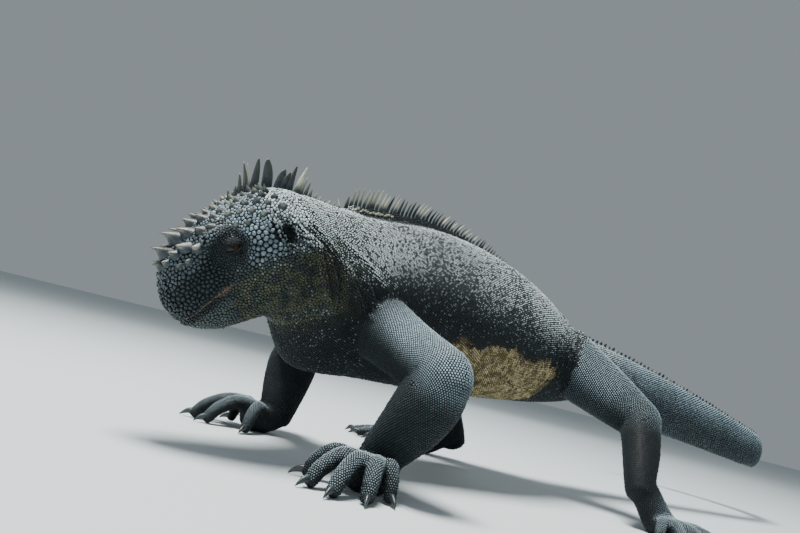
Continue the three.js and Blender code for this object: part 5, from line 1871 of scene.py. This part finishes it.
neck = (form == TRUNK_FORM) & (roots["point"][:, X] < DOMES_UNTIL_X)
hand = roots["hand"] > 0
far = roots["point"][:, X] > BEADS_FROM_X
coat_triangles = add_coat("scales_head", form == HEAD_FORM, 8, PLATE, 0.25)
coat_triangles += add_coat("scales_neck", neck, 6, DOME, 0.5)
coat_triangles += add_coat("scales_trunk", (form == TRUNK_FORM) & ~neck, 6, BEAD, 0.45, 1.7)
coat_triangles += add_coat("scales_tail", (form == TAIL_FORM) & ~far, 6, DOME, 0.7)
coat_triangles += add_coat("scales_tail_end", (form == TAIL_FORM) & far, 6, BEAD, 0.6, 1.8)
for number, (name, limb) in enumerate(LIMBS.items(), FIRST_LIMB):
    shape, top = (BEAD, 1.3) if is_leg(limb) else (DOME, 1.0)
    coat_triangles += add_coat(f"scales_{name}", (form == number) & ~hand, 6, shape, 0.3, top)
    coat_triangles += add_coat(f"scales_{name}_digits", (form == number) & hand, 6, BEAD, 0.3, 1.3)
print("coat pieces:", len(coat), "triangles:", coat_triangles)

# %% [markdown]
# The materials are made of nodes. This small helper writes a node tree in one line per step:
# each method adds one node, links what it is given and returns the node's output.

# %% A helper for node trees
def colour(code, alpha=1.0):
    """A colour from its hex code, in the linear values that shaders work with."""
    parts = [int(code[start:start + 2], 16) / 255 for start in (1, 3, 5)]
    linear = [part / 12.92 if part <= 0.04045 else ((part + 0.055) / 1.055) ** 2.4 for part in parts]
    return (*linear, alpha)


class Nodes:
    def __init__(self, tree):
        self.tree = tree

    def feed(self, socket, value):
        if isinstance(value, bpy.types.NodeSocket):
            self.tree.links.new(value, socket)
        elif value is not None:
            socket.default_value = value

    def math(self, operation, first, second=None, clamp=False):
        node = self.tree.nodes.new("ShaderNodeMath")
        node.operation = operation
        node.use_clamp = clamp
        self.feed(node.inputs[0], first)
        self.feed(node.inputs[1], second)
        return node.outputs[0]

    def blend(self, share, first, second):
        node = self.tree.nodes.new("ShaderNodeMix")
        node.data_type = "RGBA"
        self.feed(node.inputs["Factor"], share)
        self.feed(node.inputs[6], first)
        self.feed(node.inputs[7], second)
        return node.outputs[2]

    def between(self, share, first, second):
        node = self.tree.nodes.new("ShaderNodeMix")
        for number, item in zip((0, 2, 3), (share, first, second)):
            self.feed(node.inputs[number], item)
        return node.outputs[0]

    def span(self, value, low, high, to_low=0.0, to_high=1.0):
        node = self.tree.nodes.new("ShaderNodeMapRange")
        node.interpolation_type = "SMOOTHSTEP"
        for number, item in enumerate((value, low, high, to_low, to_high)):
            self.feed(node.inputs[number], item)
        return node.outputs[0]

    def noise(self, scale, detail=2.0, roughness=0.5):
        place = self.tree.nodes.new("ShaderNodeTexCoord").outputs["Object"]
        node = self.tree.nodes.new("ShaderNodeTexNoise")
        self.feed(node.inputs["Vector"], place)
        self.feed(node.inputs["Scale"], scale)
        self.feed(node.inputs["Detail"], detail)
        self.feed(node.inputs["Roughness"], roughness)
        return node.outputs["Fac"]

    def stored(self, name):
        node = self.tree.nodes.new("ShaderNodeAttribute")
        node.attribute_name = name
        return node.outputs["Fac"]


def new_group(name, inputs, outputs):
    group = bpy.data.node_groups.new(name, "ShaderNodeTree")
    for label, low, high, start in inputs:
        socket = group.interface.new_socket(label, in_out="INPUT", socket_type="NodeSocketFloat")
        socket.min_value, socket.max_value, socket.default_value = low, high, start
    for label, kind in outputs:
        group.interface.new_socket(label, in_out="OUTPUT", socket_type=kind)
    source = group.nodes.new("NodeGroupInput")
    sink = group.nodes.new("NodeGroupOutput")
    return Nodes(group), source.outputs, sink.inputs


print("a slate colour in linear values:", [round(v, 3) for v in colour("#2E3B40")[:3]])

# %% [markdown]
# Hide and scales share one colour effect. A scale is pale at its crown and dark at its foot, so
# the hide reads as pale dots on black: partly the animal's own salt-and-pepper, partly a painted
# highlight on each scale's top and painted shade in the gaps between scales. How pale the crown
# gets depends on the place on the body and on chance, scale by scale.

# %% The tone of hide and scales
SHARES = [(label, 0.0, 1.0, 0.0) for label in ("Pale", "Sand", "Olive", "Cool", "Rust", "Crown",
                                                "Speck", "Mottle")]
nodes, given, put = new_group("HideTone", SHARES, [("Color", "NodeSocketColor"),
                                                    ("Roughness", "NodeSocketFloat")])
broad = nodes.span(nodes.noise(24.0, 3.0), 0.34, 0.66, -0.2, 0.18)
fine = nodes.span(nodes.noise(480.0, 2.0), 0.34, 0.66, -0.22, 0.2)
drift = nodes.math("MULTIPLY", nodes.math("ADD", broad, fine), given["Mottle"])
drift = nodes.math("MULTIPLY", drift, nodes.span(given["Pale"], 0.0, 0.5, 0.3, 1.0))
pale_here = nodes.math("ADD", given["Pale"], drift, clamp=True)
hit = nodes.span(nodes.math("SUBTRACT", pale_here, given["Speck"]), -0.09, 0.11)
bright = nodes.span(given["Pale"], 0.0, 0.8, 0.3, 1.0)
dim = nodes.span(given["Pale"], 0.0, 0.8, 0.02, 0.14)
speckled = nodes.between(hit, dim, bright)
even = nodes.math("MULTIPLY", pale_here, nodes.span(given["Speck"], 0.0, 1.0, 0.75, 1.1))
# Paler toward the crown, dark at the foot: painted highlight on scale tops, painted shade in the gaps.
peak = nodes.span(given["Crown"], 0.3, 0.76)
amount = nodes.between(given["Mottle"], even, speckled)
amount = nodes.math("MULTIPLY", amount, peak, clamp=True)
body = nodes.blend(given["Crown"], colour("#05080A"), colour("#172226"))
pale = nodes.blend(given["Cool"], colour("#E6EAE4"), colour("#A3BDC9"))
tone = nodes.blend(amount, body, pale)
ragged = nodes.math("MULTIPLY", nodes.math("SUBTRACT", nodes.noise(75.0, 4.0, 0.7), 0.5), 2.4)
sand_here = nodes.math("ADD", given["Sand"], ragged)
grit = nodes.blend(nodes.span(nodes.noise(300.0, 2.0), 0.36, 0.64), colour("#75663F"), colour("#DACCA2"))
sandy = nodes.blend(given["Crown"], colour("#3A2E1C"), grit)
dotted = nodes.math("MULTIPLY", nodes.span(given["Speck"], 0.8, 0.9), peak)
sandy = nodes.blend(dotted, sandy, colour("#B5A772"))
sandy = nodes.blend(nodes.span(sand_here, 0.48, 0.66), colour("#4C3826"), sandy)
blotch = nodes.span(nodes.noise(150.0, 3.0, 0.6), 0.55, 0.63, 0.0, 0.8)
sandy = nodes.blend(blotch, sandy, colour("#20241E"))
tone = nodes.blend(nodes.span(sand_here, 0.42, 0.56), tone, sandy)
olive = nodes.blend(given["Crown"], colour("#0E110D"), colour("#66694B"))
patch = nodes.span(nodes.noise(150.0, 3.0, 0.6), 0.4, 0.6, 0.1, 1.0)
tone = nodes.blend(nodes.math("MULTIPLY", given["Olive"], patch), tone, olive)
tone = nodes.blend(given["Rust"], tone, colour("#7D6A5E"))
nodes.feed(put["Color"], tone)
nodes.feed(put["Roughness"], nodes.span(given["Crown"], 0.0, 1.0, 0.7, 0.5))
hide_tone = nodes.tree
print("HideTone has", len(hide_tone.nodes), "nodes")

# %% [markdown]
# Fine grain: a small noise that roughens every surface a little. Its height feeds a bump, with
# a scale of its own in each material.

# %% Fine grain
nodes, given, put = new_group("FineGrain", [("Scale", 0.0, 20000.0, 2500.0)],
                              [("Height", "NodeSocketFloat")])
nodes.feed(put["Height"], nodes.noise(given["Scale"], 3.0, 0.6))
fine_grain = nodes.tree
print("FineGrain has", len(fine_grain.nodes), "nodes")

# %% [markdown]
# Horn is dark and fibrous. Its edges get a painted highlight, and pale horn lightens towards the
# tip, partly as painted light from above. A value stored on each spine says how pale it is,
# because dark and pale ones stand side by side.

# %% The tone of horn
nodes, given, put = new_group("HornTone", [("Rise", 0, 1, 0), ("Cream", 0, 1, 0), ("Edge", 0, 1, 0),
                                           ("From", 0, 1, 0)],
                              [("Color", "NodeSocketColor"), ("Roughness", "NodeSocketFloat")])
grain = nodes.span(nodes.noise(420.0, 3.0, 0.6), 0.35, 0.65)
dark = nodes.blend(nodes.math("MULTIPLY", grain, 0.6), colour("#0A171C"), colour("#22343D"))
grey = nodes.blend(grain, colour("#3C484A"), colour("#66716E"))
# Pale horn turns from grey to cream towards the tip: partly painted light from above.
creamy = nodes.blend(nodes.span(given["Rise"], 0.05, 0.6), grey, colour("#C6C6AC"))
# Painted highlight on the edges and ridges of pale horn.
edge_highlight = nodes.math("MULTIPLY", nodes.span(given["Edge"], 0.5, 1.0), given["Cream"])
creamy = nodes.blend(nodes.math("MULTIPLY", edge_highlight, 0.6), creamy, colour("#C9C8AE"))
upper = nodes.span(given["Rise"], given["From"], nodes.math("ADD", given["From"], 0.4))
tone = nodes.blend(nodes.math("MULTIPLY", given["Cream"], upper), dark, creamy)
nodes.feed(put["Color"], tone)
nodes.feed(put["Roughness"], nodes.span(grain, 0.0, 1.0, 0.34, 0.5))
horn_tone = nodes.tree
print("groups:", ", ".join(group.name for group in bpy.data.node_groups))

# %% [markdown]
# Every material places these groups with its own values. What is the same all over a surface
# is set straight on the shader.

# %% Materials with the shared effects
def new_material(name):
    material = bpy.data.materials.new(name)
    material.use_nodes = True
    nodes = Nodes(material.node_tree)
    return material, nodes, material.node_tree.nodes["Principled BSDF"]


def placed_group(nodes, group, **inputs):
    node = nodes.tree.nodes.new("ShaderNodeGroup")
    node.node_tree = group
    for label, value in inputs.items():
        nodes.feed(node.inputs[label], value)
    return node.outputs


def set_tone(nodes, shader, tone):
    nodes.feed(shader.inputs["Base Color"], tone["Color"])
    nodes.feed(shader.inputs["Roughness"], tone["Roughness"])


def set_gloss(shader, specular=0.5, coat=0.0, coat_roughness=0.3):
    shader.inputs["Specular IOR Level"].default_value = specular
    shader.inputs["Coat Weight"].default_value = coat
    shader.inputs["Coat Roughness"].default_value = coat_roughness


def add_grain(nodes, shader, scale, depth):
    bump = nodes.tree.nodes.new("ShaderNodeBump")
    bump.inputs["Distance"].default_value = depth
    nodes.feed(bump.inputs["Height"], placed_group(nodes, fine_grain, Scale=scale)["Height"])
    nodes.feed(shader.inputs["Normal"], bump.outputs["Normal"])


def hide_material(name, crown, speck, grain_scale, grain_depth):
    material, nodes, shader = new_material(name)
    marks = {key.capitalize(): nodes.stored(key) for key in MARK_KEYS}
    crown = nodes.stored("crown") if crown is None else crown
    speck = nodes.stored("speck") if speck is None else nodes.noise(speck)
    tone = placed_group(nodes, hide_tone, Crown=crown, Speck=speck, **marks)
    set_tone(nodes, shader, tone)
    set_gloss(shader, specular=0.24, coat=0.03)
    add_grain(nodes, shader, grain_scale, grain_depth)
    return material


scale_paint = hide_material("scales", None, None, 3200.0, 0.00005)
# The hide between the scales takes the dark foot colour: painted shade in the gaps.
skin_paint = hide_material("hide", 0.12, 600.0, 1500.0, 0.0003)


def horn_material(name, cream, start, grain_scale, grain_depth):
    material, nodes, shader = new_material(name)
    cream = nodes.stored("cream") if cream is None else cream
    tone = placed_group(nodes, horn_tone, Rise=nodes.stored("rise"), Cream=cream,
                        Edge=nodes.stored("edge"), From=start)
    set_tone(nodes, shader, tone)
    set_gloss(shader, coat=0.1)
    add_grain(nodes, shader, grain_scale, grain_depth)
    return material


spine_paint = horn_material("spine_horn", None, 0.0, 1800.0, 0.00012)
horn_paint = horn_material("scale_horn", None, 0.3, 2200.0, 0.00015)
claw_paint = horn_material("claw_horn", 0.02, 0.0, 2600.0, 0.00006)
toned = (scale_paint, skin_paint, spine_paint, horn_paint, claw_paint)
print("materials with shared effects:", ", ".join(paint.name for paint in toned))

# %% [markdown]
# The lids are darker and duller than the hide, with a brownish edge. The eye shines a little:
# pupil, iris and dark rim are bands of the angle that is stored on its points.

# %% Lids and eyes
lid_paint, nodes, shader = new_material("lid_skin")
wrinkle = nodes.span(nodes.noise(1500.0, 3.0), 0.5, 0.66)
lid_tone = nodes.blend(wrinkle, colour("#080C0E"), colour("#1E292E"))
edge = nodes.span(nodes.stored("margin"), 0.0, 0.14, 0.75, 0.0)
nodes.feed(shader.inputs["Base Color"], nodes.blend(edge, lid_tone, colour("#2E2320")))
shader.inputs["Roughness"].default_value = 0.7
shader.inputs["Specular IOR Level"].default_value = 0.2
add_grain(nodes, shader, 1500.0, 0.0006)

eye_paint, nodes, shader = new_material("eye_wet")
gaze = nodes.stored("gaze")
rays = nodes.span(nodes.noise(1400.0, 3.0), 0.3, 0.7)
iris = nodes.blend(rays, colour("#140C08"), colour("#3A2418"))
iris = nodes.blend(nodes.span(gaze, 0.2, 0.24), colour("#030303"), iris)
white = nodes.blend(rays, colour("#0C0A09"), colour("#1A1614"))
nodes.feed(shader.inputs["Base Color"], nodes.blend(nodes.span(gaze, 0.42, 0.46), iris, white))
shader.inputs["Roughness"].default_value = 0.35
set_gloss(shader, specular=0.3, coat=0.12, coat_roughness=0.08)
print("materials:", len(bpy.data.materials))

# %% [markdown]
# At last the skin gets its markings and stands for the model's flesh, eyes and claws for their
# own nodes. Every piece rides on the one body.

# %% Put it together
skin = put_in_scene("skin", skin_mesh)
store_values(skin_mesh, skin_marks)
skin_mesh.polygons.foreach_set("use_smooth", np.full(len(skin_mesh.polygons), True))

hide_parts(*[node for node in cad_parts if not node.startswith(("eye", "claw"))])
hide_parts("eye_left")
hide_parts("eye_right")


def finish_piece(piece, paint):
    piece.data.materials.clear()
    piece.data.materials.append(paint)
    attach(piece, "root")


FINISHES = [  # pieces, paint, the record's slot
    ([skin], skin_paint, "hide"), (coat, scale_paint, "hide"), (claws, claw_paint, "claw"),
    ([spines_nape, spines_back, spines_tail], spine_paint, "hide"), ([horns], horn_paint, "hide"),
    (eyes, eye_paint, "eye"), (lids, lid_paint, "hide"),
]
for pieces, paint, slot_name in FINISHES:
    for piece in pieces:
        finish_piece(piece, paint)
print("pieces:", sum(len(pieces) for pieces, _, _ in FINISHES))

# %% [markdown]
# The dressed animal has to be as large as the imported one, so its box is measured.

# %% Sizes, and the end
low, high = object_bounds()
